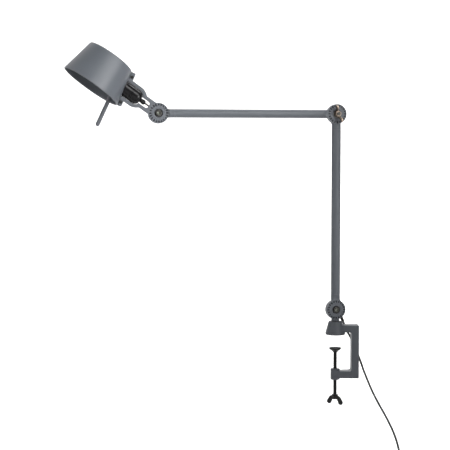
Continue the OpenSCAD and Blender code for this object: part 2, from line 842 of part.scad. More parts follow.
module holder_shell() {
    color(brass) in_head() difference() {
        x_rod(shell_r, shell_x, holder_end - 4);
        x_rod(cap_r + fit, shell_x + 1, holder_end);
        x_rod(3, shell_x - 1, shell_x + 2);
    }
}
module holder_contact() {
    color(brass) in_head() x_rod(2 - fit, insulator_x + 5, cap_tip_x);
}
module cord_grip() {
    color(black) in_head() difference() {
        union() {
            x_rod(5.4, holder_x - grip_l, holder_x);
            x_rod(grip_core_r, holder_x - eps, holder_x + 8);
        }
        x_rod(lead_d / 2 + fit, holder_x - grip_l - 1, holder_x + 9);
        for (a = [0:60:300]) rotate([a, 0, 0]) translate([holder_x - grip_l - 1, -0.5, 4.8])
            cube([grip_l - 3, 1, 2]);
    }
}
module head_lead() {
    color(black) in_head() x_rod(lead_d / 2, disc_r + play, holder_x + 7);
}

// Bulb with a screw cap.
module bulb_glass() {
    ball_r = bulb_d / 2;
    ball_x = cap_tip_x + bulb_l - ball_r;
    neck_x = cap_tip_x + bulb_cap_l;
    color(opal) in_head() difference() {
        translate([neck_x, 0, 0]) rotate([0, 90, 0]) rotate_extrude()
            bulb_profile(ball_r, ball_x - neck_x, 7.5);
        translate([neck_x, 0, 0]) rotate([0, 90, 0]) rotate_extrude()
            translate([0, 1]) bulb_profile(ball_r - 1, ball_x - neck_x - 1, 6.5);
    }
}
module bulb_profile(r, at, neck) {
    intersection() {
        translate([0, 0]) square([r + 1, at + r + 1]);
        union() {
            translate([0, at]) circle(r);
            polygon([[0, 0], [neck, 0], [r * 0.8, at - r * 0.6], [0, at]]);
        }
    }
}
module bulb_cap() {
    color(brass) in_head() {
        x_rod(2, cap_tip_x, cap_tip_x + 2);
        x_rod(cap_r, cap_tip_x + 2 - eps, cap_tip_x + bulb_cap_l);
    }
}

// Handle rod inside the socket side of the shade, and what holds it.
// Local Z runs along the rod, parallel to the shade's wall.
module along_rod() {
    translate([wall_x(rod_top_z) + rod_off, 0, rod_top_z]) rotate([0, -atan(wall_slope), 0]) children();
}
rod_l = shade_h / 2 - rod_top_z + rod_out;
module handle_rod() {
    r = rod_d / 2;
    color(paint) in_head() along_rod() {
        cylinder(r = r, h = rod_l - r);
        translate([0, 0, rod_l - r]) sphere(r);
        translate([0, 0, -stud_l]) cylinder(r = stud_r, h = stud_l + eps);
    }
}
module handle_bracket() {
    reach = rod_off - shade_t + 1;
    color(paint) in_head() difference() {
        intersection() {
            along_rod() {
                translate([-reach, -7, -bracket_t]) cube([reach + 7, 14, bracket_t]);
                translate([-reach, -7, -bracket_t]) cube([2.6, 14, 14]);
            }
            shade_inner();
        }
        along_rod() translate([0, 0, -10]) cylinder(r = stud_r + fit, h = 20);
    }
}
module handle_nut() {
    color(steel) in_head() along_rod() translate([0, 0, -bracket_t - 4]) difference() {
        hex(8, 4);
        translate([0, 0, -1]) cylinder(r = stud_r + fit, h = 6);
    }
}

// Clamp screw with its swivel pad and its cast wing head.
module screw_pad() {
    r = screw_pad_d / 2;
    color(black) translate([0, 0, cup_top - cup_h]) difference() {
        rotate_extrude() polygon([[0, 0], [6.5, 0], [7.5, 2], [r - 1, cup_h - 2.6],
            [r, cup_h - 1.6], [r, cup_h], [0, cup_h]]);
        translate([0, 0, -1]) cylinder(r = pin_r + fit, h = cup_h + 2);
        translate([0, 0, cup_h - head_h - play]) cylinder(r = head_r + 0.2, h = 3);
    }
}
module pad_facing() {
    color(rubber) translate([0, 0, cup_top]) cylinder(r = screw_pad_d / 2, h = facing_t);
}
module clamp_screw() {
    color(black) difference() {
        union() {
            translate([0, 0, wing_z - 9]) cylinder(d = screw_d, h = shoulder_z - wing_z + 9);
            translate([0, 0, shoulder_z - eps]) cylinder(r = pin_r, h = cup_top - play - shoulder_z);
            translate([0, 0, cup_floor + 0.1]) cylinder(r = head_r, h = head_h - 0.1);
        }
        translate([0, 0, wing_z - 5]) rotate([0, 0, wing_turn]) y_rod(1.5, -10, 10);
    }
}
// Two drooping arms with round ends, cast in one with the hub.
module wing_head() {
    color(black) rotate([0, 0, wing_turn]) difference() {
        union() {
            translate([0, 0, wing_z - 11]) cylinder(r1 = 6.5, r2 = 7, h = 11);
            for (s = [-1, 1]) hull() {
                translate([s * 2.5, 0, wing_z - 5]) sphere(4.4, $fn = 32);
                translate([s * 10, 0, wing_z - 8.5]) sphere(4.8, $fn = 32);
            }
            for (s = [-1, 1]) hull() {
                translate([s * 10, 0, wing_z - 8.5]) sphere(4.8, $fn = 32);
                translate([s * tip_out, 0, wing_z - tip_drop]) sphere(tip_r, $fn = 32);
            }
        }
        translate([0, 0, wing_z - 9]) cylinder(d = screw_d + 2 * fit, h = 20);
        translate([0, 0, wing_z - 5]) y_rod(1.5, -10, 10);
    }
}
module wing_pin() {
    color(steel) rotate([0, 0, wing_turn]) translate([0, 0, wing_z - 5]) y_rod(1.5, -6.2, 6.2);
}

// Free cord, its tied coil, its short end and a plug with two round pins.
module cord() {
    color(rubber) sweep(cord_points, cord_d / 2, [0, 0, -1]);
}
module cord_coil() {
    color(rubber) translate(coil_at) rotate([90, 0, 0]) rotate_extrude()
        translate([coil_d / 2, 0]) circle(d = bundle_d);
}
module coil_tie() {
    turn = tie_w / (coil_d / 2) * 57.3;
    color(black) translate(coil_at) rotate([90, 0, 0]) rotate([0, 0, 90 - turn / 2])
        rotate_extrude(angle = turn) translate([coil_d / 2, 0]) difference() {
            circle(d = bundle_d + 2 * tie_t + 0.2);
            circle(d = bundle_d + 0.2);
        }
}
module cord_tail() {
    color(rubber) sweep(tail_points, cord_d / 2, heading(tail_points, 0));
}
module at_plug() {
    last = len(tail_points) - 1;
    aim(tail_points[last], tail_points[last] - tail_points[last - 1]) children();
}
module plug_body() {
    color(black) at_plug() difference() {
        union() {
            cylinder(r1 = cord_d / 2 + 0.6, r2 = 5, h = 12);
            translate([-plug_w / 2, -plug_t / 2, 8]) linear_extrude(plug_l - 8)
                soft_square([plug_w, plug_t], 5);
        }
        for (s = [-1, 1]) translate([s * pin_pitch / 2, 0, plug_l - 8])
            cylinder(d = plug_pin_d, h = 10);
    }
}
module plug_pins() {
    color(steel) at_plug() for (s = [-1, 1]) translate([s * pin_pitch / 2, 0, plug_l - 8]) {
        cylinder(d = plug_pin_d, h = plug_pin_l + 8 - 1.2);
        translate([0, 0, plug_pin_l + 8 - 1.2 - eps]) cylinder(d1 = plug_pin_d, d2 = 2, h = 1.2);
    }
}

clamp_frame();
table_pad();
swivel_bush();
swivel_washer();
swivel_nut();
swivel_post();
cord_gland();
lower_friction_disc();
lower_joint_nut();
lower_joint_washer();
lower_joint_bolt();
lower_arm_foot();
lower_arm_tube();
lower_arm_top();
lower_arm_lead();
lower_arm_screws();
elbow_bolt();
elbow_friction_disc();
elbow_washer();
elbow_wing_nut();
upper_arm_foot();
upper_arm_tube();
upper_arm_top();
upper_arm_lead();
upper_arm_screws();
head_friction_disc();
head_washer();
head_wing_nut();
head_bolt();
yoke();
yoke_screws();
yoke_nuts();
shade();
holder_cap();
holder_sleeve();
holder_ring();
holder_insulator();
holder_shell();
holder_contact();
cord_grip();
head_lead();
bulb_glass();
bulb_cap();
handle_rod();
handle_bracket();
handle_nut();
screw_pad();
pad_facing();
clamp_screw();
wing_head();
wing_pin();
cord();
cord_coil();
coil_tie();
cord_tail();
plug_body();
plug_pins();
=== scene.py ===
import json
import math

import bmesh
import bpy
from mathutils import Matrix, Vector


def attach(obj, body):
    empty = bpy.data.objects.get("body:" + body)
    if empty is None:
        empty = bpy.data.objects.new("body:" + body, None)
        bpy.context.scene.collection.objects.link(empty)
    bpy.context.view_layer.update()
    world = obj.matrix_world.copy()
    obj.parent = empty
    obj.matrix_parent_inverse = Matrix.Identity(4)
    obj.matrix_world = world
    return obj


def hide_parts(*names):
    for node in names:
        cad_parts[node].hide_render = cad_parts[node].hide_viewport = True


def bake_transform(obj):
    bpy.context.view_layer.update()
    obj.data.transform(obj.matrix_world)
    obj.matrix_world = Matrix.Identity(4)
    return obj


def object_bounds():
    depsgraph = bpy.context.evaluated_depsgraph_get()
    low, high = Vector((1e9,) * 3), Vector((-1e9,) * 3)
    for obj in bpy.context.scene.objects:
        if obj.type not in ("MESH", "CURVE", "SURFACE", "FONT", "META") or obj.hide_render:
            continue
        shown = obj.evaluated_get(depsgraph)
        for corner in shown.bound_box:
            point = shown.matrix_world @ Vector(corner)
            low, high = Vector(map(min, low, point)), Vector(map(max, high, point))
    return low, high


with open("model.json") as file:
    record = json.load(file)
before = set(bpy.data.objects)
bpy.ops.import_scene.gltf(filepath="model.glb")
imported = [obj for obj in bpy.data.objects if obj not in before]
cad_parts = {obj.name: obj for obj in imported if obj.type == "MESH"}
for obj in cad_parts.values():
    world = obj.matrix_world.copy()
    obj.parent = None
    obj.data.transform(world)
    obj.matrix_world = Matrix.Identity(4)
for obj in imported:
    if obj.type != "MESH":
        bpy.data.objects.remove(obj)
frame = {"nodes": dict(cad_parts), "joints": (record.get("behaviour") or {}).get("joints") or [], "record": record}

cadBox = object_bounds()
nodes = frame["nodes"]
scene = bpy.context.scene
mm = 0.001

print("lamp: camera")
viewpoint = {
    "place": (-0.2484, -2.330, 0.3586),
    "pitch": 87.25,            # degrees, 90 looks level
    "lens": 83.2,
    "sensor": 36.0,
}


def makeCamera(v):
    data = bpy.data.cameras.new("camera")
    data.lens = v["lens"]
    data.sensor_width = v["sensor"]
    data.clip_end = 50
    cam = bpy.data.objects.new("camera", data)
    cam.location = v["place"]
    cam.rotation_euler = (math.radians(v["pitch"]), 0, 0)
    scene.collection.objects.link(cam)
    scene.camera = cam


makeCamera(viewpoint)


# Places of the sub-assemblies: modelling is in millimetres in each one's own axes.

jointAt = {j["name"]: Vector(j["pos_m"]) for j in frame["joints"] if "pos_m" in j}
pose = {"swing": 13, "drop": 0.5, "rise": 35, "plate": -3.75}    # degrees, and the yoke's shift in mm


def turned(angle, axis):
    return Matrix.Rotation(math.radians(angle), 4, axis)


def placeAt(point):
    return Matrix.Translation(point) @ turned(pose["swing"], "Z") @ Matrix.Scale(mm, 4)


atBase = Matrix.Scale(mm, 4)
atLower = placeAt(jointAt["lower_tilt"])
atElbow = placeAt(jointAt["elbow_tilt"])
atHead = placeAt(jointAt["head_tilt"])
inUpperArm = atElbow @ turned(-90 - pose["drop"], "Y")
inHead = atHead @ turned(180 + pose["rise"], "Y") @ Matrix.Translation((0, pose["plate"], 0))

slotOf = {row["node"]: row["material_slot"] for row in frame["record"]["subparts"]}
bodyOf = {n: b for b, members in frame["record"]["behaviour"]["bodies"].items() for n in members}


# Helpers that the pieces share.


def dress(obj, material, body):
    # A piece's finish and the body that carries it.
    obj.data.materials.append(material)
    if body:
        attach(obj, body)


def putInScene(name, bm, material, body, place=None, smooth=35):
    # Writes a finished piece with its place in its mesh; smooth is the angle past which an edge is sharp.
    if place is not None:
        bm.transform(place)
    mesh = bpy.data.meshes.new(name)
    bm.to_mesh(mesh)
    bm.free()
    obj = bpy.data.objects.new(name, mesh)
    scene.collection.objects.link(obj)
    if smooth:
        mesh.shade_smooth()
        mesh.set_sharp_from_angle(angle=math.radians(smooth))
    dress(obj, material, body)
    return obj


def standIn(name, bm, node, material, place=None, smooth=35):
    # A piece that takes a CAD node's place, on that node's body.
    obj = putInScene(name, bm, finishes[material], bodyOf[node], place, smooth)
    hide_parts(node)
    return obj


def evaluatedMesh(obj):
    # The mesh that an object's modifiers or curve settings make.
    bpy.context.view_layer.update()
    return bpy.data.meshes.new_from_object(obj.evaluated_get(bpy.context.evaluated_depsgraph_get()))


def applyModifiers(obj):
    done = evaluatedMesh(obj)
    obj.modifiers.clear()
    obj.data = done
    done.shade_smooth()
    return done


def flattenFaces(obj):
    # Keeps large faces flat beside their rounded edges.
    flat = obj.modifiers.new("flatFaces", "WEIGHTED_NORMAL")
    flat.keep_sharp = True


def turnProfile(profile, steps=96, loop=False):
    # A solid of revolution about Z from (radius, height) pairs. They start and end on the axis, or are
    # a loop round a ring's section.
    bm = bmesh.new()
    verts = [bm.verts.new((r, 0, h)) for r, h in profile]
    ends = verts[1:] + verts[:1] if loop else verts[1:]
    edges = [bm.edges.new((a, b)) for a, b in zip(verts, ends)]
    bmesh.ops.spin(bm, geom=verts + edges, cent=(0, 0, 0), axis=(0, 0, 1), angle=2 * math.pi,
                   steps=steps, use_merge=True, use_duplicate=False)
    bmesh.ops.remove_doubles(bm, verts=bm.verts, dist=1e-4)
    bmesh.ops.recalc_face_normals(bm, faces=bm.faces)
    return bm


def arcRun(centre, r, first, last, steps):
    # Points on an arc between two angles in degrees.
    run = []
    for k in range(steps + 1):
        a = math.radians(first + (last - first) * k / steps)
        run.append((centre[0] + r * math.cos(a), centre[1] + r * math.sin(a)))
    return run


def straightRun(a, b, first, last, steps):
    # Points first to last, of a line between two points in equal steps.
    return [(a[0] + (b[0] - a[0]) * k / steps, a[1] + (b[1] - a[1]) * k / steps)
            for k in range(first, last + 1)]


def rounded(points, r, steps):
    # Rounds the corners of a closed run of (x, y) pairs.
    out = []
    n = len(points)
    for i, p in enumerate(points):
        p = Vector(p)
        a = Vector(points[i - 1]) - p
        b = Vector(points[(i + 1) % n]) - p
        reach = min(r, a.length * 0.45, b.length * 0.45)
        a, b = a.normalized() * reach, b.normalized() * reach
        for k in range(steps + 1):
            t = k / steps
            q = p + a * (1 - t) ** 2 + b * t ** 2
            out.append((q.x, q.y))
    return out


def block(low, high):
    # A box between two corners.
    bm = bmesh.new()
    bmesh.ops.create_cube(bm, size=1)
    for v in bm.verts:
        v.co = Vector([a + (c + 0.5) * (b - a) for a, b, c in zip(low, high, v.co)])
    return bm


def bevelEdges(bm, edges, width, segments):
    bmesh.ops.bevel(bm, geom=edges, offset=width, offset_type="OFFSET", segments=segments, profile=0.5,
                    affect="EDGES", clamp_overlap=True, material=-1)


def sharpEdges(bm, angle):
    return [e for e in bm.edges if e.is_manifold and e.calc_face_angle(0) > math.radians(angle)]


def onlyEdges(geometry):
    return [g for g in geometry if isinstance(g, bmesh.types.BMEdge)]


def cutFlat(bm, point, normal):
    # Takes away what lies past a plane, and closes the cut.
    cut = bmesh.ops.bisect_plane(bm, geom=bm.verts[:] + bm.edges[:] + bm.faces[:], plane_co=point,
                                 plane_no=normal, clear_outer=True)
    bmesh.ops.contextual_create(bm, geom=onlyEdges(cut["geom_cut"]))
    bmesh.ops.recalc_face_normals(bm, faces=bm.faces)
    return bm


def joinTo(bm, other):
    # Adds a second shape to the first.
    mesh = bpy.data.meshes.new("joined")
    other.to_mesh(mesh)
    other.free()
    bm.from_mesh(mesh)
    bpy.data.meshes.remove(mesh)
    return bm


def pressLobes(bm, beyond, count, depth, power):
    # Presses finger grips into the skin that lies further than beyond from the axis.
    for v in bm.verts:
        if v.co.xy.length > beyond:
            crest = 0.5 + 0.5 * math.cos(count * math.atan2(v.co.y, v.co.x))
            k = 1 - depth * crest ** power
            v.co.x *= k
            v.co.y *= k
    return bm


def helix(root, crest, pitch, start, length, steps=32):
    # A thread's skin from a one-pitch profile turned and lifted together.
    bm = bmesh.new()
    run = [(root, 0), (crest, 0.34), (crest, 0.46), (root, 0.80), (root, 1.0)]
    verts = [bm.verts.new((r, 0, start + h * pitch)) for r, h in run]
    edges = [bm.edges.new((a, b)) for a, b in zip(verts, verts[1:])]
    bmesh.ops.spin(bm, geom=verts + edges, cent=(0, 0, 0), axis=(0, 0, 1), dvec=(0, 0, pitch / steps),
                   angle=2 * math.pi, steps=steps, use_duplicate=False)
    turn = bpy.data.meshes.new("turn")
    bm.to_mesh(turn)
    for _ in range(int(length / pitch) - 2):
        turn.transform(Matrix.Translation((0, 0, pitch)))
        bm.from_mesh(turn)
    bpy.data.meshes.remove(turn)
    bmesh.ops.remove_doubles(bm, verts=bm.verts, dist=pitch * 0.004)
    bmesh.ops.recalc_face_normals(bm, faces=bm.faces)
    probe = max(bm.faces, key=lambda f: f.calc_center_median().xy.length)
    if probe.normal.xy.dot(probe.calc_center_median().xy) < 0:
        bmesh.ops.reverse_faces(bm, faces=bm.faces)
    return bm


def cleanCopy(node):
    # A merged copy of a CAD node's mesh, in metres.
    bm = bmesh.new()
    bm.from_mesh(nodes[node].data)
    bmesh.ops.remove_doubles(bm, verts=bm.verts, dist=2e-6)
    return bm


def softCopy(name, node, material, edge, angle):
    # A CAD node's own shape with the edges sharper than an angle rounded.
    bm = cleanCopy(node)
    bmesh.ops.dissolve_limit(bm, angle_limit=math.radians(0.6), verts=bm.verts, edges=bm.edges)
    bevelEdges(bm, sharpEdges(bm, angle), edge * mm, 2)
    flattenFaces(standIn(name, bm, node, material))


def castCopy(name, node, material, voxel, rounds):
    # A casting's soft surface: a copy of its node is remeshed finely and its edges are worn round.
    obj = standIn(name, cleanCopy(node), node, material, smooth=0)
    remesh = obj.modifiers.new("skin", "REMESH")
    remesh.mode = "VOXEL"
    remesh.voxel_size = voxel * mm
    remesh.use_smooth_shade = True
    smooth = obj.modifiers.new("worn", "SMOOTH")
    smooth.factor = 0.5
    smooth.iterations = rounds
    done = applyModifiers(obj)
    print(name, len(done.polygons), "faces")
    return obj


# Shader groups that several finishes share.


def newGroup(name, inputs, outputs):
    group = bpy.data.node_groups.new(name, "ShaderNodeTree")
    for label, kind, value in inputs:
        socket = group.interface.new_socket(name=label, in_out="INPUT", socket_type=kind)
        socket.default_value = value
    for label, kind in outputs:
        group.interface.new_socket(name=label, in_out="OUTPUT", socket_type=kind)
    return group, group.nodes.new("NodeGroupInput"), group.nodes.new("NodeGroupOutput")


def addNode(tree, kind, **settings):
    node = tree.nodes.new(kind)
    for key, value in settings.items():
        setattr(node, key, value)
    return node


def setInputs(node, **values):
    # Plain numbers and colours on a node's sockets; an underscore stands for a space.
    for key, value in values.items():
        node.inputs[key.replace("_", " ")].default_value = value


def link(tree, a, b):
    tree.links.new(a, b)


def makeGrain():
    # Fine height noise, for a powder-coated or cast skin.
    g, ins, outs = newGroup("fineGrain", [
        ("Size", "NodeSocketFloat", 900.0), ("Detail", "NodeSocketFloat", 3.0),
        ("Depth", "NodeSocketFloat", 0.1)], [("Normal", "NodeSocketVector")])
    coord = addNode(g, "ShaderNodeTexCoord")
    noise = addNode(g, "ShaderNodeTexNoise")
    bump = addNode(g, "ShaderNodeBump")
    setInputs(bump, Distance=0.0006)                  # metres from a pit to a crest
    link(g, coord.outputs["Object"], noise.inputs["Vector"])
    link(g, ins.outputs["Size"], noise.inputs["Scale"])
    link(g, ins.outputs["Detail"], noise.inputs["Detail"])
    link(g, noise.outputs["Fac"], bump.inputs["Height"])
    link(g, ins.outputs["Depth"], bump.inputs["Strength"])
    link(g, bump.outputs["Normal"], outs.inputs["Normal"])
    return g


def makeTone():
    # Slow changes of colour and roughness, such as handling and dust leave.
    g, ins, outs = newGroup("handlingTone", [
        ("Colour", "NodeSocketColor", (0.1, 0.1, 0.1, 1)),
        ("Dust", "NodeSocketColor", (0.4, 0.39, 0.37, 1)),
        ("Size", "NodeSocketFloat", 30.0), ("Amount", "NodeSocketFloat", 0.1),
        ("Roughness", "NodeSocketFloat", 0.4), ("Spread", "NodeSocketFloat", 0.1)],
        [("Colour", "NodeSocketColor"), ("Roughness", "NodeSocketFloat")])
    coord = addNode(g, "ShaderNodeTexCoord")
    cloud = addNode(g, "ShaderNodeTexNoise")
    setInputs(cloud, Detail=5, Roughness=0.6)
    geo = addNode(g, "ShaderNodeNewGeometry")
    split = addNode(g, "ShaderNodeSeparateXYZ")
    upward = addNode(g, "ShaderNodeMapRange", interpolation_type="SMOOTHSTEP")
    setInputs(upward, From_Min=0.3, From_Max=1.0)
    settle = addNode(g, "ShaderNodeMath", operation="MULTIPLY")
    share = addNode(g, "ShaderNodeMath", operation="MULTIPLY")
    tint = addNode(g, "ShaderNodeMix", data_type="RGBA")
    swing = addNode(g, "ShaderNodeMapRange")
    setInputs(swing, To_Min=-1, To_Max=1)
    offset = addNode(g, "ShaderNodeMath", operation="MULTIPLY_ADD")
    link(g, coord.outputs["Object"], cloud.inputs["Vector"])
    link(g, ins.outputs["Size"], cloud.inputs["Scale"])
    link(g, geo.outputs["Normal"], split.inputs[0])
    link(g, split.outputs["Z"], upward.inputs["Value"])
    link(g, upward.outputs["Result"], settle.inputs[0])
    link(g, cloud.outputs["Fac"], settle.inputs[1])
    link(g, settle.outputs[0], share.inputs[0])
    link(g, ins.outputs["Amount"], share.inputs[1])
    link(g, share.outputs[0], tint.inputs["Factor"])
    link(g, ins.outputs["Colour"], tint.inputs["A"])
    link(g, ins.outputs["Dust"], tint.inputs["B"])
    link(g, tint.outputs["Result"], outs.inputs["Colour"])
    link(g, cloud.outputs["Fac"], swing.inputs["Value"])
    link(g, swing.outputs["Result"], offset.inputs[0])
    link(g, ins.outputs["Spread"], offset.inputs[1])
    link(g, ins.outputs["Roughness"], offset.inputs[2])
    link(g, offset.outputs[0], outs.inputs["Roughness"])
    return g


grainGroup = makeGrain()
toneGroup = makeTone()

handling = {"size": 30, "amount": 0.1, "spread": 0.06}
dustGrey = (0.32, 0.32, 0.32)


def finish(name, colour, roughness, metallic=0.0, grain=(900, 0.1), dust=dustGrey, **sockets):
    # One finish: the two groups feed a Principled shader, and plain numbers sit on its sockets. Grain is
    # its size and its depth.
    m = bpy.data.materials.new(name)
    m.use_nodes = True
    tree = m.node_tree
    shader = tree.nodes["Principled BSDF"]
    setInputs(shader, Metallic=metallic, **sockets)
    t = addNode(tree, "ShaderNodeGroup", node_tree=toneGroup)
    setInputs(t, Colour=(*colour, 1), Dust=(*dust, 1), Size=handling["size"], Amount=handling["amount"],
              Spread=handling["spread"], Roughness=roughness)
    g = addNode(tree, "ShaderNodeGroup", node_tree=grainGroup)
    setInputs(g, Size=grain[0], Depth=grain[1])
    link(tree, t.outputs["Colour"], shader.inputs["Base Color"])
    link(tree, t.outputs["Roughness"], shader.inputs["Roughness"])
    link(tree, g.outputs["Normal"], shader.inputs["Normal"])
    return m


print("lamp: finishes")
finishes = {
    "armPaint": finish("armPaint", (0.063, 0.069, 0.079), 0.43, grain=(1100, 0.10),
                       dust=(0.12, 0.12, 0.12), Specular_IOR_Level=0.34),
    "clampPaint": finish("clampPaint", (0.045, 0.0495, 0.057), 0.5, grain=(1000, 0.14),
                         dust=(0.08, 0.08, 0.08), Specular_IOR_Level=0.36),
    # Darker paint for the shade's inside: painted shade within the drum.
    "insideShadePaint": finish("insideShadePaint", (0.041, 0.045, 0.052), 0.6, grain=(1000, 0.1),
                         dust=(0.04, 0.04, 0.04), Specular_IOR_Level=0.25),
    # Near-black finish for notch floors: painted shade in the notches.
    "notchShadePaint": finish("notchShadePaint", (0.018, 0.020, 0.023), 0.7, grain=(900, 0.1),
                         dust=(0.04, 0.04, 0.04), Specular_IOR_Level=0.2),
    "steel": finish("steel", (0.52, 0.49, 0.46), 0.3, metallic=1.0, grain=(500, 0.06)),
    "castSteel": finish("castSteel", (0.25, 0.20, 0.16), 0.34, metallic=1.0, grain=(260, 0.16)),
    # Washers take a steel darker than the plain steel: painted shade in the recesses under the nuts.
    "shadedWasherSteel": finish("shadedWasherSteel", (0.26, 0.25, 0.235), 0.38, metallic=1.0, grain=(500, 0.08)),
    "socketSteel": finish("socketSteel", (0.13, 0.14, 0.12), 0.38, metallic=0.8, grain=(500, 0.08)),
    "darkSteel": finish("darkSteel", (0.055, 0.054, 0.050), 0.40, metallic=1.0, grain=(500, 0.08),
                        dust=(0.2, 0.2, 0.19)),
    "blackSteel": finish("blackSteel", (0.009, 0.009, 0.009), 0.42, grain=(600, 0.15),
                         dust=(0.02, 0.02, 0.02), Specular_IOR_Level=0.18),
    "brass": finish("brass", (0.64, 0.50, 0.29), 0.32, metallic=1.0, grain=(500, 0.05)),
    "gloss": finish("gloss", (0.005, 0.005, 0.0055), 0.17, grain=(60, 0.02),
                    dust=(0.015, 0.015, 0.015), Specular_IOR_Level=0.16),
    "blackPlastic": finish("blackPlastic", (0.012, 0.012, 0.013), 0.5, grain=(900, 0.1),
                           dust=(0.05, 0.05, 0.05), Specular_IOR_Level=0.35),
    "rubber": finish("rubber", (0.012, 0.012, 0.0125), 0.75, grain=(700, 0.2),
                     dust=(0.03, 0.03, 0.03), Specular_IOR_Level=0.25),
    "ceramic": finish("ceramic", (0.78, 0.76, 0.72), 0.35, grain=(400, 0.05), dust=(0.6, 0.58, 0.55)),
    "opal": finish("opal", (0.90, 0.89, 0.86), 0.22, grain=(200, 0.01), dust=(0.8, 0.79, 0.76),
                   Subsurface_Weight=0.25, Subsurface_Scale=0.004),
    "cordCover": finish("cordCover", (0.016, 0.016, 0.0175), 0.6, grain=(1500, 0.25)),
    "leadCover": finish("leadCover", (0.022, 0.016, 0.013), 0.55, grain=(1200, 0.2)),
}
slotFinish = {
    "clamp_paint": "clampPaint", "arm_paint": "armPaint", "steel": "steel", "black_steel": "blackSteel",
    "black_plastic": "blackPlastic", "rubber": "rubber", "brass": "brass", "ceramic": "ceramic",
    "opal_glass": "opal", "cord_cover": "cordCover",
}


print("lamp: cord")
cordSizes = {
    "diameter": 5.0,
    "length": 1.80,            # from the gland to the plug
    # The hanging stretch and the run to the plug are the solid cord's own points, in millimetres.
    "route": [
        (19.5, 18, 27), (24, 19.5, 17), (29.5, 20.5, 4), (36.5, 21, -9), (43.5, 21.5, -24),
        (50, 22, -39), (56, 22, -54), (62, 22, -70), (67.5, 22, -86), (73.5, 22, -101),
        (80, 22, -117), (87, 22, -133), (95, 22, -149), (103.5, 22, -165), (112, 22, -180),
        (120, 22, -194.5), (128, 22, -210), (135.5, 22, -226), (142, 22, -243), (147, 22, -260),
        (150.5, 22, -277), (152, 22, -292), (152.5, 22, -305), (152.5, 22, -318)],
    "tail": [
        (152.5, 22, -330), (152.5, 22, -343), (151, 22, -356), (148, 22, -369), (146, 22, -382)],
    # The solid coil is a plain ring, so these lead the cord into real turns and out again.
    "hanging": 20,             # how many of the route's points are kept before that
    "into": [(150, 20.5, -273), (152.8, 17.8, -287), (155.4, 15, -300), (157.3, 14.2, -312)],
    "away": [(157.6, 29.8, -334), (156.8, 29.4, -345), (154, 27, -356), (150.2, 23.6, -366),
             (147.7, 22.3, -374), (146, 22, -382)],
    "blendEnd": 12,
    "coilAt": (125, 22, -324),
    "coilRadius": 27.5,
    "layers": 4,
    "layerTurns": 2,
    "between": 0.2,            # air between one turn and the next
    "hop": 0.2,                # the part of a turn in which the cord climbs to the next layer
    "turnPoints": 32,
}


def woundTurns(c):
    # The wound length: flat layers of turns, in, out, in and out again.
    pitch = c["diameter"] + c["between"]
    mid = Vector(c["coilAt"])
    points = []
    layers, perLayer, n = c["layers"], c["layerTurns"], c["turnPoints"]
    for i in range(layers * perLayer * n + 1):
        t = i / n
        layer = min(int(t / perLayer), layers - 1)
        f = t - layer * perLayer
        out = perLayer / 2 - f if layer % 2 == 0 else f - perLayer / 2
        depth = layer
        for step in range(1, layers):
            k = (t - step * perLayer) / c["hop"] + 0.5
            if 0 < k < 1:
                depth = step - 1 + k * k * (3 - 2 * k)
        r = c["coilRadius"] + out * pitch
        y = (depth - (layers - 1) / 2) * pitch
        a = -2 * math.pi * t
        points.append(mid + Vector((r * math.cos(a), y, r * math.sin(a))))
    return points


def smoothRun(points, per):
    # Catmull-Rom points through a run, so many to a stretch.
    out = []
    p = [Vector(q) for q in points]
    for i in range(len(p) - 1):
        a, b, c, d = p[max(i - 1, 0)], p[i], p[i + 1], p[min(i + 2, len(p) - 1)]
        for k in range(per):
            t = k / per
            out.append(0.5 * ((2 * b) + (c - a) * t + (2 * a - 5 * b + 4 * c - d) * t * t
                              + (3 * b - a - 3 * c + d) * t * t * t))
    out.append(p[-1])
    return out


def cordPath(c):
    # Both smooth runs reach on into the turns for their direction there, and that part is dropped.
    coil = woundTurns(c)
    per = 6
    before = smoothRun(c["route"][:c["hanging"]] + c["into"] + [coil[0], coil[2]], per)[:-per]
    after = smoothRun([coil[-3], coil[-1]] + c["away"], per)[per:]
    return before[:-1] + coil + after[1:]


def tube(name, points, radius, material, body, sides=3):
    # A round tube along points, in millimetres, as a mesh.
    data = bpy.data.curves.new(name, "CURVE")
    data.dimensions = "3D"
    data.bevel_depth = radius * mm
    data.bevel_resolution = sides
    data.use_fill_caps = True
    run = data.splines.new("POLY")
    run.points.add(len(points) - 1)
    for spot, q in zip(run.points, points):
        spot.co = (*(Vector(q) * mm), 1)
    temp = bpy.data.objects.new(name + "Line", data)
    scene.collection.objects.link(temp)
    obj = bpy.data.objects.new(name, evaluatedMesh(temp))
    bpy.data.objects.remove(temp)
    scene.collection.objects.link(obj)
    obj.data.shade_smooth()
    dress(obj, material, body)
    return obj


cordLine = cordPath(cordSizes)
cordPiece = tube("supplyCord", cordLine, cordSizes["diameter"] / 2, finishes["cordCover"], None)
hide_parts("cord", "cord_coil", "cord_tail")
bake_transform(cordPiece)

print("lamp: plug")
plugSizes = {
    "width": 26, "thick": 13.7, "length": 36, "neck": 8,
    "corner": 5.5, "edge": 1.4,
    "ribs": 5, "ribPitch": 1.8, "ribRadius": 3.2, "ribGrowth": 0.3,
    "tailRoot": 5.0, "tailTo": 9.5,
}


def plugPlaceFrom(c):
    # The plug's axes: it carries on where the cord ends.
    last, before = Vector(c["tail"][-1]), Vector(c["tail"][-2])
    z = (last - before).normalized()
    a = math.atan2(z.y, z.x)
    return (Matrix.Scale(mm, 4) @ Matrix.Translation(last) @ Matrix.Rotation(a, 4, "Z")
            @ Matrix.Rotation(math.acos(z.z), 4, "Y"))


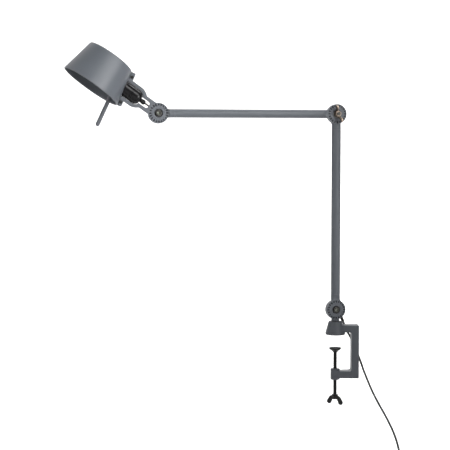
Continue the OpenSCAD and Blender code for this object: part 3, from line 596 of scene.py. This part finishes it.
def makePlug(p):
    # A flat moulded body with round corners and softened edges.
    x, y = p["width"] / 2, p["thick"] / 2
    bm = block((-x, -y, p["neck"]), (x, y, p["length"]))
    upright = [e for e in bm.edges if abs(e.verts[0].co.z - e.verts[1].co.z) > 1]
    bevelEdges(bm, upright, p["corner"], 6)
    bevelEdges(bm, sharpEdges(bm, 50), p["edge"], 4)
    return bm


def makePlugTail(p):
    # The ribbed taper between the cord and the plug's body.
    profile = [(0, -0.5), (3.1, -0.5)]
    for k in range(p["ribs"]):
        r = p["ribRadius"] + p["ribGrowth"] * k
        z = p["ribPitch"] * k
        profile += [(r, z + 0.2), (r + 0.3, z + 1.1), (r - 0.3, z + 1.6)]
    profile += [(p["tailRoot"], p["tailTo"]), (0, p["tailTo"])]
    return turnProfile(profile, 40)


plugPlace = plugPlaceFrom(cordSizes)
plugBody = standIn("plugBody", makePlug(plugSizes), "plug_body", "blackPlastic", plugPlace)
plugTail = standIn("plugTail", makePlugTail(plugSizes), "plug_body", "blackPlastic", plugPlace)
tieSizes = {
    "width": 12.0, "thick": 1.1,
    "radial": 6.5, "deep": 10.45,      # half the room for the turns, across the coil's axis and along it
    "corner": 3.4,
    "overlap": 9.0,
    "edge": 0.22,
}


def bandLoop(x, y, r):
    return rounded([(-x, -y), (x, -y), (x, y), (-x, y)], r * 1.7, 5)


def sweepBand(bm, inner, outer, radius, width, closed=True):
    # A flat band section, drawn as two matching runs, turned through a short arc about the coil's axis.
    a = [bm.verts.new((radius + x, y, 0)) for x, y in inner]
    b = [bm.verts.new((radius + x, y, 0)) for x, y in outer]
    n = len(a)
    faces = []
    for k in range(n if closed else n - 1):
        after = (k + 1) % n
        faces.append(bm.faces.new((a[k], a[after], b[after], b[k])))
    edges = list({e for f in faces for e in f.edges})
    turn = width / radius
    bmesh.ops.rotate(bm, verts=a + b, cent=(0, 0, 0),
                     matrix=Matrix.Rotation(turn / 2 - math.pi / 2, 3, "Y"))
    bmesh.ops.spin(bm, geom=a + b + edges + faces, cent=(0, 0, 0), axis=(0, 1, 0), angle=-turn,
                   steps=8, use_duplicate=False)


def makeTie(c, d):
    # Hook-and-loop strap round the wound turns, with its free end lying on top.
    bm = bmesh.new()
    t = d["thick"]
    inner = bandLoop(d["radial"], d["deep"], d["corner"])
    outer = bandLoop(d["radial"] + t, d["deep"] + t, d["corner"] + t)
    sweepBand(bm, inner, outer, c["coilRadius"], d["width"])
    x, half, steps = d["radial"] + t, d["overlap"], 8
    under = [(x + 0.02, -half + 2 * half * k / steps) for k in range(steps + 1)]
    lid = [(x + t * (1 if 0 < k < steps else 0.5), y) for k, (_, y) in enumerate(under)]
    sweepBand(bm, under, lid, c["coilRadius"], d["width"], closed=False)
    bmesh.ops.recalc_face_normals(bm, faces=bm.faces)
    bevelEdges(bm, sharpEdges(bm, 60), d["edge"], 2)
    return bm


tie = standIn("coilStrap", makeTie(cordSizes, tieSizes), "coil_tie", "blackPlastic",
              atBase @ Matrix.Translation(cordSizes["coilAt"]))

print("lamp: carried nodes")
for n, obj in nodes.items():
    obj.data.materials.clear()
    obj.data.materials.append(finishes[slotFinish[slotOf[n]]])
softCopy("clampFrame", "clamp_frame", "clampPaint", edge=0.7, angle=28)

print("lamp: shade")
shadeSizes = {
    "reach": 149.5,            # joint to the shade's axis
    "topRadius": 53.5, "openRadius": 67.5, "height": 77.5, "corner": 4.0,
    "lean": 10.8,              # degrees round the corner and the bead to where the wall meets them
    "wall": 1.5, "bead": 1.15,
    "hole": 15.7, "holeAt": 90.0, "holeDeep": 24.0,
    "paintedShadeTo": 36.0, "paintedShadeRadius": 50.0,      # how far the painted shade inside reaches
}
shadePlace = inHead @ Matrix.Translation((shadeSizes["reach"], 0, 0))


def makeShade(d):
    # Spun drum: a round closed end, a straight flared wall and a bead rolled in at the open rim.
    h, c, lean, flat = d["height"] / 2, d["corner"], d["lean"], d["topRadius"] * 0.5
    outer = arcRun((d["topRadius"] - c, c - h), c, -90, -lean, 10)
    inner = arcRun((d["topRadius"] - c, c - h), c - d["wall"], -lean, -90, 8)
    bead = arcRun((d["openRadius"] - d["bead"] - 0.25, h - d["bead"]), d["bead"], -lean, 200, 14)
    underBead = (d["openRadius"] - d["wall"] - 0.9, h - 3.4)
    profile = [(0, -h), (flat, -h)] + outer
    profile += straightRun(outer[-1], bead[0], 1, 7, 8) + bead
    profile += straightRun(underBead, inner[0], 0, 7, 8) + inner
    profile += [(flat, d["wall"] - h), (0, d["wall"] - h)]
    return turnProfile(profile, 160)


def cutRound(obj, place, radius, depth):
    # Takes a round hole out of a piece; the hole's axis is the place's Z.
    bm = bmesh.new()
    bmesh.ops.create_cone(bm, cap_ends=True, segments=96, radius1=radius, radius2=radius, depth=depth)
    drill = putInScene("drill", bm, finishes["armPaint"], None, place)
    cut = obj.modifiers.new("hole", "BOOLEAN")
    cut.operation = "DIFFERENCE"
    cut.solver = "EXACT"
    cut.object = drill
    applyModifiers(obj).set_sharp_from_angle(angle=math.radians(35))
    bpy.data.objects.remove(drill)


def paintInsideShade(obj, d):
    # The inside of the wall and of the closed end takes a darker paint than the outside: painted shade inside the
    # drum. A known fault: the closed end's outer faces give zero in the first test, so rounding gives some of them
    # the darker paint too.
    obj.data.materials.append(finishes["insideShadePaint"])
    back = shadePlace.inverted()
    turn = back.to_3x3()
    for f in obj.data.polygons:
        spot = back @ f.center
        inward = (turn @ f.normal).xy.dot(spot.xy) < 0
        onEnd = abs(spot.z + d["height"] / 2 - d["wall"]) < 0.3 and spot.xy.length < d["paintedShadeRadius"]
        if (inward and spot.z < d["paintedShadeTo"]) or onEnd:
            f.material_index = 1


shadePiece = standIn("shadeDrum", makeShade(shadeSizes), "shade", "armPaint", shadePlace)
cutRound(shadePiece, inHead @ Matrix.Translation((shadeSizes["holeAt"], 0, 0)) @ turned(90, "Y"),
         shadeSizes["hole"], shadeSizes["holeDeep"])
flattenFaces(shadePiece)
paintInsideShade(shadePiece, shadeSizes)

earSizes = {
    "lug": 28.5,               # from the lamp holder's axis to a lug's middle
    "wallAt": 89.0, "slope": 0.18065,      # the shade's wall at that axis, and how it leans
    "length": 8.5, "half": 7.0, "from": 3.25, "thick": 2.5,
    "into": 1.0,               # how far it runs into the wall
    "corner": 3.0, "edge": 0.4,
}


def makeEar(d, side):
    # Small plate welded to the wall behind a lug, cut to the wall's slope.
    z = side * d["lug"]
    wall = d["wallAt"] - d["slope"] * z
    bm = block((wall - d["length"], d["from"], z - d["half"]),
               (wall + 6, d["from"] + d["thick"], z + d["half"]))
    back = [e for e in bm.edges if abs(e.verts[0].co.y - e.verts[1].co.y) > 1
            and e.verts[0].co.x < wall - 5]
    bevelEdges(bm, back, d["corner"], 5)
    bevelEdges(bm, sharpEdges(bm, 40), d["edge"], 2)
    return cutFlat(bm, (wall + d["into"], 0, z), (1, 0, d["slope"]))


for name, side in (("shadeEarOpen", 1), ("shadeEarClosed", -1)):
    standIn(name, makeEar(earSizes, side), "shade", "armPaint", inHead)

print("lamp: lamp holder")
holderPlace = inHead @ turned(90, "Y")
holderSizes = {
    "radius": 15.5,
    "back": 47.7, "capLength": 25.3, "dome": 10.6, "grooveAt": 21.4,
    "end": 102.0, "lip": 0.4, "bore": 11.9, "boreDeep": 18.0,
    "ringFrom": 90.6, "ringTo": 99.0, "ringRadius": 18.4, "ringBore": 15.55, "ringLobes": 16,
    "grip": 12.5, "gripRadius": 5.4, "gripLobes": 12,
}


def makeCap(d):
    # Moulded cap: a domed back, and a shallow groove near its mouth.
    x, r, c, end = d["back"], d["radius"], d["dome"], d["back"] + d["capLength"]
    groove = x + d["grooveAt"]
    profile = [(0, x + 0.6), (5.8, x + 0.6), (6.2, x)] + arcRun((r - c, x + c), c, -86, 0, 14)
    profile += [(r, x + 14), (r, groove), (r - 0.35, groove + 0.4), (r - 0.35, groove + 1.0),
                (r, groove + 1.4), (r, end - 0.3), (r - 0.3, end), (0, end)]
    return turnProfile(profile, 128)


def makeSleeve(d):
    # Plain sleeve screwed on to the cap, with a stepped lip round its open end.
    x, r, end, lip = d["back"] + d["capLength"], d["radius"], d["end"], d["lip"]
    profile = [(0, x), (r - 0.5, x), (r, x + 0.5), (r, x + 14), (r, end - 1.6), (r - lip, end - 1.2),
               (r - lip, end - 0.4), (r - 2 * lip, end), (d["bore"] + 0.4, end), (d["bore"], end - 0.5),
               (d["bore"], end - d["boreDeep"]), (0, end - d["boreDeep"])]
    return turnProfile(profile, 128)


def makeRing(d):
    # Threaded shade ring with finger grips.
    a, b, r, bore = d["ringFrom"], d["ringTo"], d["ringRadius"], d["ringBore"]
    bm = turnProfile([(0, a), (r - 0.4, a), (r, a + 0.4), (r, b - 0.6), (r - 0.5, b), (bore, b),
                      (bore, b - 1), (0, b - 1)], 64)
    return pressLobes(bm, r - 0.9, d["ringLobes"], 0.035, 3)


def makeGrip(d):
    # Cord grip: a ribbed nut on a threaded neck.
    x, r = d["back"], d["gripRadius"]
    a = x - d["grip"]
    profile = [(0, a), (2.3, a), (2.6, a + 0.2), (r - 0.9, a + 1.4), (r - 0.2, a + 2.2), (r, a + 3),
               (r, x - 4.2), (r - 0.4, x - 3.8), (r - 0.9, x - 3.6), (r - 0.9, x - 2.8),
               (r - 0.3, x - 2.6), (r - 0.3, x - 0.4), (r - 0.6, x), (0, x)]
    return pressLobes(turnProfile(profile, 96), r - 0.15, d["gripLobes"], 0.10, 4)


for name, make, node in (("holderCap", makeCap, "holder_cap"),
                         ("holderSleeve", makeSleeve, "holder_sleeve"),
                         ("holderRing", makeRing, "holder_ring"),
                         ("leadGrip", makeGrip, "cord_grip")):
    standIn(name, make(holderSizes), node, "gloss", holderPlace, smooth=40)

bulbSizes = {
    "radius": 22.5, "tip": 81.5, "length": 78.0, "neck": 7.6,
    "ballFrom": -48,           # degrees below the globe's middle, where the hollow takes over
    "hollow": 1.7,             # 1 is a straight cone
    "cap": 22.0, "capRadius": 7.0, "pitch": 3.0, "root": 6.2, "crest": 6.95, "core": 6.25,
}


def makeBulb(d):
    # Opal globe that runs down in one soft hollow to its neck.
    neckAt, ballAt = d["tip"] + d["cap"], d["tip"] + d["length"] - d["radius"]
    ball = [(max(x, 0), ballAt + y) for x, y in arcRun((0, 0), d["radius"], d["ballFrom"], 90, 30)]
    wide, high = ball[0]
    hollow = []
    for k in range(12):
        t = k / 12
        hollow.append((d["neck"] + (wide - d["neck"]) * t ** d["hollow"], neckAt + (high - neckAt) * t))
    return turnProfile([(0, neckAt)] + hollow + ball[:-1] + [(0, ballAt + d["radius"])], 96)


def makeBulbCap(d):
    # Screw cap: a coarse rolled thread with the contact at its tip.
    tip, core, r = d["tip"], d["core"], d["capRadius"]
    end = tip + d["cap"]
    return joinTo(helix(d["root"], d["crest"], d["pitch"], tip + 4, 17), turnProfile([
        (0, tip), (1.8, tip + 0.2), (2.0, tip + 2), (4.4, tip + 3), (core, tip + 4.6), (core, end - 3),
        (r, end - 1.6), (r, end), (0, end)], 48))


standIn("bulbGlobe", makeBulb(bulbSizes), "bulb_glass", "opal", holderPlace)
standIn("bulbCapShell", makeBulbCap(bulbSizes), "bulb_cap", "brass", holderPlace)

print("lamp: arms")
armSizes = {
    "lower": {"radius": 10.25, "length": 438.0},
    "upper": {"radius": 9.5, "length": 402.0},
    "knuckle": 35.0,           # from a joint to the end of its tube
    "lip": 0.22, "seam": 0.02,
}


def makeTube(d, arm):
    # Drawn tube with its two ends just broken, so that a fine seam shows at each casting.
    r, lip = arm["radius"], d["lip"]
    a, b = d["knuckle"] + d["seam"], arm["length"] - d["knuckle"] - d["seam"]
    profile = [(0, a), (r - lip, a), (r, a + lip)]
    profile += straightRun((r, d["knuckle"]), (r, arm["length"] - d["knuckle"]), 1, 9, 10)
    profile += [(r, b - lip), (r - lip, b), (0, b)]
    return turnProfile(profile, 96)


standIn("lowerTube", makeTube(armSizes, armSizes["lower"]), "lower_arm_tube", "armPaint", atLower)
standIn("upperTube", makeTube(armSizes, armSizes["upper"]), "upper_arm_tube", "armPaint", inUpperArm)

print("lamp: small metal")
smallCopies = {
    # node: piece, finish and the width of its rounded edges in millimetres
    "yoke_screws": ("yokeScrews", "blackSteel", 0.25),
    "yoke_nuts": ("yokeNuts", "darkSteel", 0.3),
    "head_bolt": ("headBoltHead", "darkSteel", 0.55),
    "lower_joint_bolt": ("lowerBoltHead", "darkSteel", 0.55),
    "elbow_bolt": ("elbowBoltHead", "darkSteel", 0.55),
    "lower_joint_nut": ("domeNut", "steel", 0.35),
    "swivel_nut": ("swivelNut", "steel", 0.35),
    "swivel_washer": ("swivelWasher", "steel", 0.2),
    # The handle rod has the arm's paint; the darker clamp paint here is painted shade on the rod.
    "handle_rod": ("handleRod", "clampPaint", 0.5),
    "handle_bracket": ("handleBracket", "armPaint", 0.3),
    "handle_nut": ("handleNut", "steel", 0.3),
    "table_pad": ("tablePad", "rubber", 0.3),
    "swivel_bush": ("swivelBush", "blackPlastic", 0.2),
    "screw_pad": ("screwPad", "blackSteel", 0.4),
    "pad_facing": ("padFacing", "rubber", 0.3),
    "wing_pin": ("wingPin", "darkSteel", 0.2),
    "lower_arm_screws": ("lowerSetScrews", "darkSteel", 0.15),
    "upper_arm_screws": ("upperSetScrews", "darkSteel", 0.15),
}
for node, (name, material, edge) in smallCopies.items():
    softCopy(name, node, material, edge, angle=32)

ringSizes = {
    # Each outer edge is broken by so much inwards and so much along the axis.
    "washer": {"bore": 4.1, "radius": 8.45, "from": 5.45, "to": 7.0,
               "firstEdge": (0.15, 0.15), "lastEdge": (0.15, 0.15)},
    # the thin dark ring that paints shade on a recess floor
    "recess": {"bore": 6.6, "radius": 9.1, "from": 3.52, "to": 4.5,
               "firstEdge": (0.1, 0.1), "lastEdge": (0.2, 0.2)},
    "friction": {"bore": 4.2, "radius": 19.5, "from": -0.44, "to": 0.44,
                 "firstEdge": (0.15, 0.16), "lastEdge": (0.15, 0.16)},
}
springSizes = {"bore": 4.3, "radius": 7.3, "from": 3.55, "thick": 1.4, "rise": 0.45, "turn": 350}


def makeFlatRing(d, steps):
    a, b, r = d["from"], d["to"], d["radius"]
    (inFirst, upFirst), (inLast, downLast) = d["firstEdge"], d["lastEdge"]
    return turnProfile([(d["bore"], a), (r - inFirst, a), (r, a + upFirst), (r, b - downLast),
                        (r - inLast, b), (d["bore"], b)], steps, loop=True)


def makeSpringWasher(d):
    # A square wire wound through almost one turn, with its two ends apart.
    bm = bmesh.new()
    a, b, steps = d["from"], d["from"] + d["thick"], 60
    corners = ((d["bore"], a), (d["radius"], a), (d["radius"], b), (d["bore"], b))
    verts = [bm.verts.new((r, 0, h)) for r, h in corners]
    face = bm.faces.new(verts)
    wound = bmesh.ops.spin(bm, geom=verts + bm.edges[:] + [face], cent=(0, 0, 0), axis=(0, 0, 1),
                           dvec=(0, 0, d["rise"] / steps), angle=math.radians(d["turn"]), steps=steps,
                           use_duplicate=False)
    bmesh.ops.contextual_create(bm, geom=onlyEdges(wound["geom_last"]))
    bmesh.ops.recalc_face_normals(bm, faces=bm.faces)
    return bm


# The washers' darker steel is painted shade in the recess under each nut.
for name, node, place, side in (("lowerWashers", "lower_joint_washer", atLower, -1),
                                ("elbowWashers", "elbow_washer", atElbow, 1),
                                ("headWashers", "head_washer", atHead, -1)):
    pair = joinTo(makeFlatRing(ringSizes["washer"], 64), makeSpringWasher(springSizes))
    standIn(name, pair, node, "shadedWasherSteel", place @ turned(90 * side, "X"))

socketSizes = {"radius": 3.6, "past": 4.0}    # past is how far from the joint a bolt's head begins


def darkenSocket(obj, place, d):
    # The hexagon socket in a bolt's head has a finish of its own.
    obj.data.materials.append(finishes["socketSteel"])
    back = place.inverted()
    for f in obj.data.polygons:
        spots = [back @ obj.data.vertices[v].co for v in f.vertices]
        if all(math.hypot(q.x, q.z) < d["radius"] and abs(q.y) > d["past"] for q in spots):
            f.material_index = 1


for name, place in (("headBoltHead", atHead), ("lowerBoltHead", atLower), ("elbowBoltHead", atElbow)):
    darkenSocket(bpy.data.objects[name], place, socketSizes)

# A thin black ring on each recess floor round a bolt's head: a dark piece put in as painted shade in the recess.
for name, body, place, side in (("lowerRecessShadeRing", "post", atLower, 1),
                                ("headRecessShadeRing", "head", atHead, 1),
                                ("elbowRecessShadeRing", "lower_arm", atElbow, -1)):
    putInScene(name, makeFlatRing(ringSizes["recess"], 64), finishes["blackPlastic"], body,
               place @ turned(90 * side, "X"))

for name, node, place in (("lowerFrictionDisc", "lower_friction_disc", atLower),
                          ("elbowFrictionDisc", "elbow_friction_disc", atElbow),
                          ("headFrictionDisc", "head_friction_disc", atHead)):
    standIn(name, makeFlatRing(ringSizes["friction"], 96), node, "blackPlastic", place @ turned(90, "X"))

boltSizes = {"root": 3.35, "crest": 3.98, "pitch": 1.25, "threadFrom": 14.4, "thread": 6.6,
             "core": 3.38, "coreFrom": 12.0, "tip": 19.0, "chamfer": 0.3}


def makeBoltThread(d):
    # The end of a bolt that shows past its wing nut.
    a, tip, core = d["coreFrom"], d["tip"], d["core"]
    return joinTo(helix(d["root"], d["crest"], d["pitch"], d["threadFrom"], d["thread"], 28), turnProfile([
        (0, a), (core, a), (core, tip - d["chamfer"]), (3.0, tip), (0, tip)], 32))


for name, body, place, side in (("elbowBoltThread", "lower_arm", atElbow, 1),
                                ("headBoltThread", "head", atHead, -1)):
    putInScene(name, makeBoltThread(boltSizes), finishes["darkSteel"], body,
               place @ turned(90 * side, "X"))

screwSizes = {
    "bottom": -145.0, "threadFrom": -137.5, "threadTo": -42.0,
    "root": 3.66, "crest": 4.22, "pitch": 1.25,
    "shoulder": -39.3, "pin": 2.5,
    "head": 4.5, "headFrom": -32.8, "headTo": -31.55,
}


def makeClampScrew(d):
    # Rolled thread on a core that ends in a neck and a small head inside the swivel pad.
    bm = helix(d["root"], d["crest"], d["pitch"], d["threadFrom"], d["threadTo"] - d["threadFrom"], 30)
    r, top, crest, pin, head = d["root"] + 0.02, d["shoulder"], d["crest"], d["pin"], d["head"]
    return joinTo(bm, turnProfile([
        (0, d["bottom"]), (r, d["bottom"]), (r, top - 2.6), (crest, top - 1.9), (crest, top - 0.2),
        (crest - 0.2, top), (pin, top), (pin, d["headFrom"]), (head, d["headFrom"]),
        (head, d["headTo"] - 0.3), (head - 0.3, d["headTo"]), (0, d["headTo"])], 48))


standIn("clampScrewThread", makeClampScrew(screwSizes), "clamp_screw", "blackSteel", atBase)

glandSizes = {
    "sunk": 24.5,              # from its root inside the post to the cord's exit
    "seat": 4.5, "flange": 5.2, "flangeThick": 1.5, "edge": 0.25,
    "radius": 4.2, "slope": 0.049, "length": 31.0,
    "ribs": 6, "ribFrom": 2.6, "ribPitch": 2.5, "groove": 0.75,
}


def makeGland(c, g):
    # Flexible strain relief: a flange and a grooved taper, cut level where the cord comes out.
    leaves, after = Vector(c["route"][0]), Vector(c["route"][1])
    along = (after - leaves).normalized()
    seat, r, wide, edge, tip = g["seat"], g["radius"], g["flange"], g["edge"], g["length"]
    taperFrom = seat + g["flangeThick"]
    profile = [(0, 0), (r - 0.1, 0), (r - 0.1, seat), (wide - edge, seat), (wide, seat + edge),
               (wide, taperFrom - edge), (wide - edge, taperFrom)]
    for k in range(g["ribs"]):
        a = seat + g["ribFrom"] + g["ribPitch"] * k
        w = r - g["slope"] * (a - taperFrom)
        profile += [(w, a - 0.9), (w, a + 0.1), (w - 0.15, a + 0.3), (w - g["groove"], a + 0.45),
                    (w - g["groove"], a + 1.15), (w - 0.15, a + 1.3)]
    end = r - g["slope"] * (tip - taperFrom)
    profile += [(end + 0.35, tip - 8.0), (end, tip), (0, tip)]
    bm = turnProfile(profile, 48)
    root = Matrix.Translation(leaves - along * g["sunk"])
    bm.transform(root @ along.to_track_quat("Z", "Y").to_matrix().to_4x4())
    return cutFlat(bm, leaves, (0, 0, -1))


standIn("glandRibs", makeGland(cordSizes, glandSizes), "cord_gland", "rubber", atBase)

leadSizes = {"from": 22.4, "length": 32.4, "radius": 2.0, "steps": 24}
leadLine = []
for k in range(leadSizes["steps"] + 1):
    along = leadSizes["from"] + leadSizes["length"] * k / leadSizes["steps"]
    leadLine.append((inHead @ Vector((along, 0, 0))) / mm)
leadPiece = tube("headLeadCover", leadLine, leadSizes["radius"], finishes["leadCover"], "head",
                 sides=5)
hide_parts("head_lead")

print("lamp: castings")
notches = {"inner": 15.9, "outer": 20.9, "face": 7.0, "sunkFrom": 0.5, "sunkTo": 1.7}


def paintNotchShade(obj, place, d):
    # Painted shade in the notches round a disc's outer face: their floors take a near-black finish.
    obj.data.materials.append(finishes["notchShadePaint"])
    back = place.inverted()
    for f in obj.data.polygons:
        spot = back @ f.center
        sunk = d["face"] - abs(spot.y)
        if d["inner"] < math.hypot(spot.x, spot.z) < d["outer"] and d["sunkFrom"] < sunk < d["sunkTo"]:
            f.material_index = 1


for name, node, place in (("postCasting", "swivel_post", atLower),
                          ("lowerFoot", "lower_arm_foot", atLower),
                          ("lowerTop", "lower_arm_top", atElbow),
                          ("upperFoot", "upper_arm_foot", atElbow),
                          ("upperTop", "upper_arm_top", atHead),
                          ("yokeCasting", "yoke", atHead)):
    paintNotchShade(castCopy(name, node, "armPaint", voxel=0.42, rounds=3), place, notches)
for name, node in (("elbowWingNut", "elbow_wing_nut"), ("headWingNut", "head_wing_nut")):
    castCopy(name, node, "castSteel", voxel=0.3, rounds=4)
castCopy("screwWing", "wing_head", "blackSteel", voxel=0.4, rounds=3)

print("lamp: floor, backdrop and lights")
studio = {
    "floorZ": cadBox[0][2],
    "front": -5.8, "bendFrom": 2.0, "bend": 1.2, "top": 6.0, "half": 6.2,
    "paper": (0.93, 0.93, 0.93),
    "glow": 0.27,              # the light that comes from all round
}


def makeStage(s):
    # One pale sweep: a flat floor that runs up into a plain wall.
    bm = bmesh.new()
    bend = arcRun((s["bendFrom"], s["bend"]), s["bend"], -90, 0, 12)
    run = [(s["front"], 0)] + bend + [(s["bendFrom"] + s["bend"], s["top"])]
    verts = [bm.verts.new((-s["half"], y, z + s["floorZ"])) for y, z in run]
    edges = [bm.edges.new((a, b)) for a, b in zip(verts, verts[1:])]
    wide = bmesh.ops.extrude_edge_only(bm, edges=edges)["geom"]
    bmesh.ops.translate(bm, verts=[v for v in wide if isinstance(v, bmesh.types.BMVert)],
                        vec=(2 * s["half"], 0, 0))
    bmesh.ops.recalc_face_normals(bm, faces=bm.faces)
    return bm


paper = finish("palePaper", studio["paper"], 0.9, grain=(300, 0.02), dust=studio["paper"])
floor = putInScene("studioSweep", makeStage(studio), paper, None)


def areaLight(name, place, target, size, power, spread=180):
    data = bpy.data.lights.new(name, "AREA")
    data.energy = power
    data.shape = "RECTANGLE"
    data.size, data.size_y = size
    data.spread = math.radians(spread)
    obj = bpy.data.objects.new(name, data)
    obj.location = place
    obj.rotation_euler = (Vector(target) - Vector(place)).to_track_quat("-Z", "Y").to_euler()
    scene.collection.objects.link(obj)


areaLight("keyLight", (0.8, -1.7, 1.85), (-0.2, 0, 0.35), (1.0, 1.0), 37)
areaLight("headLight", (0.26, -0.80, 0.44), (-0.62, -0.05, 0.46), (0.75, 0.75), 2.1, spread=42)
areaLight("headFill", (-1.35, -0.9, 1.0), (-0.55, 0, 0.55), (0.6, 0.6), 0.85, spread=45)
areaLight("leftLight", (-2.2, -1.4, 1.0), (-0.3, 0, 0.35), (1.2, 1.2), 7)
areaLight("wallLight", (0, 1.2, 2.6), (0, 3.1, 0.6), (4.0, 1.2), 120)
areaLight("floorLight", (0, 1.6, 3.0), (0, 1.4, -0.4), (4.0, 2.0), 60)
for side, x, y in (("Front", 0, -4.6), ("Left", -5.4, 0), ("Right", 5.4, 0)):
    areaLight("outerFloor" + side, (x, y, 3.2), (x, y + 0.01, 0), (5.0, 4.0), 80, spread=75)


def makeAir(s):
    # A weak white glow lights the lamp, and the camera sees plain white past the sweep.
    world = bpy.data.worlds.new("studioWorld")
    scene.world = world
    world.use_nodes = True
    air = world.node_tree
    soft = air.nodes["Background"]
    setInputs(soft, Color=(1, 1, 1, 1), Strength=s["glow"])
    plain = addNode(air, "ShaderNodeBackground")
    setInputs(plain, Color=(1, 1, 1, 1))
    ray = addNode(air, "ShaderNodeLightPath")
    seen = addNode(air, "ShaderNodeMixShader")
    link(air, ray.outputs["Is Camera Ray"], seen.inputs[0])
    link(air, soft.outputs[0], seen.inputs[1])
    link(air, plain.outputs[0], seen.inputs[2])
    link(air, seen.outputs[0], air.nodes["World Output"].inputs["Surface"])


makeAir(studio)
scene.view_settings.view_transform = "Standard"
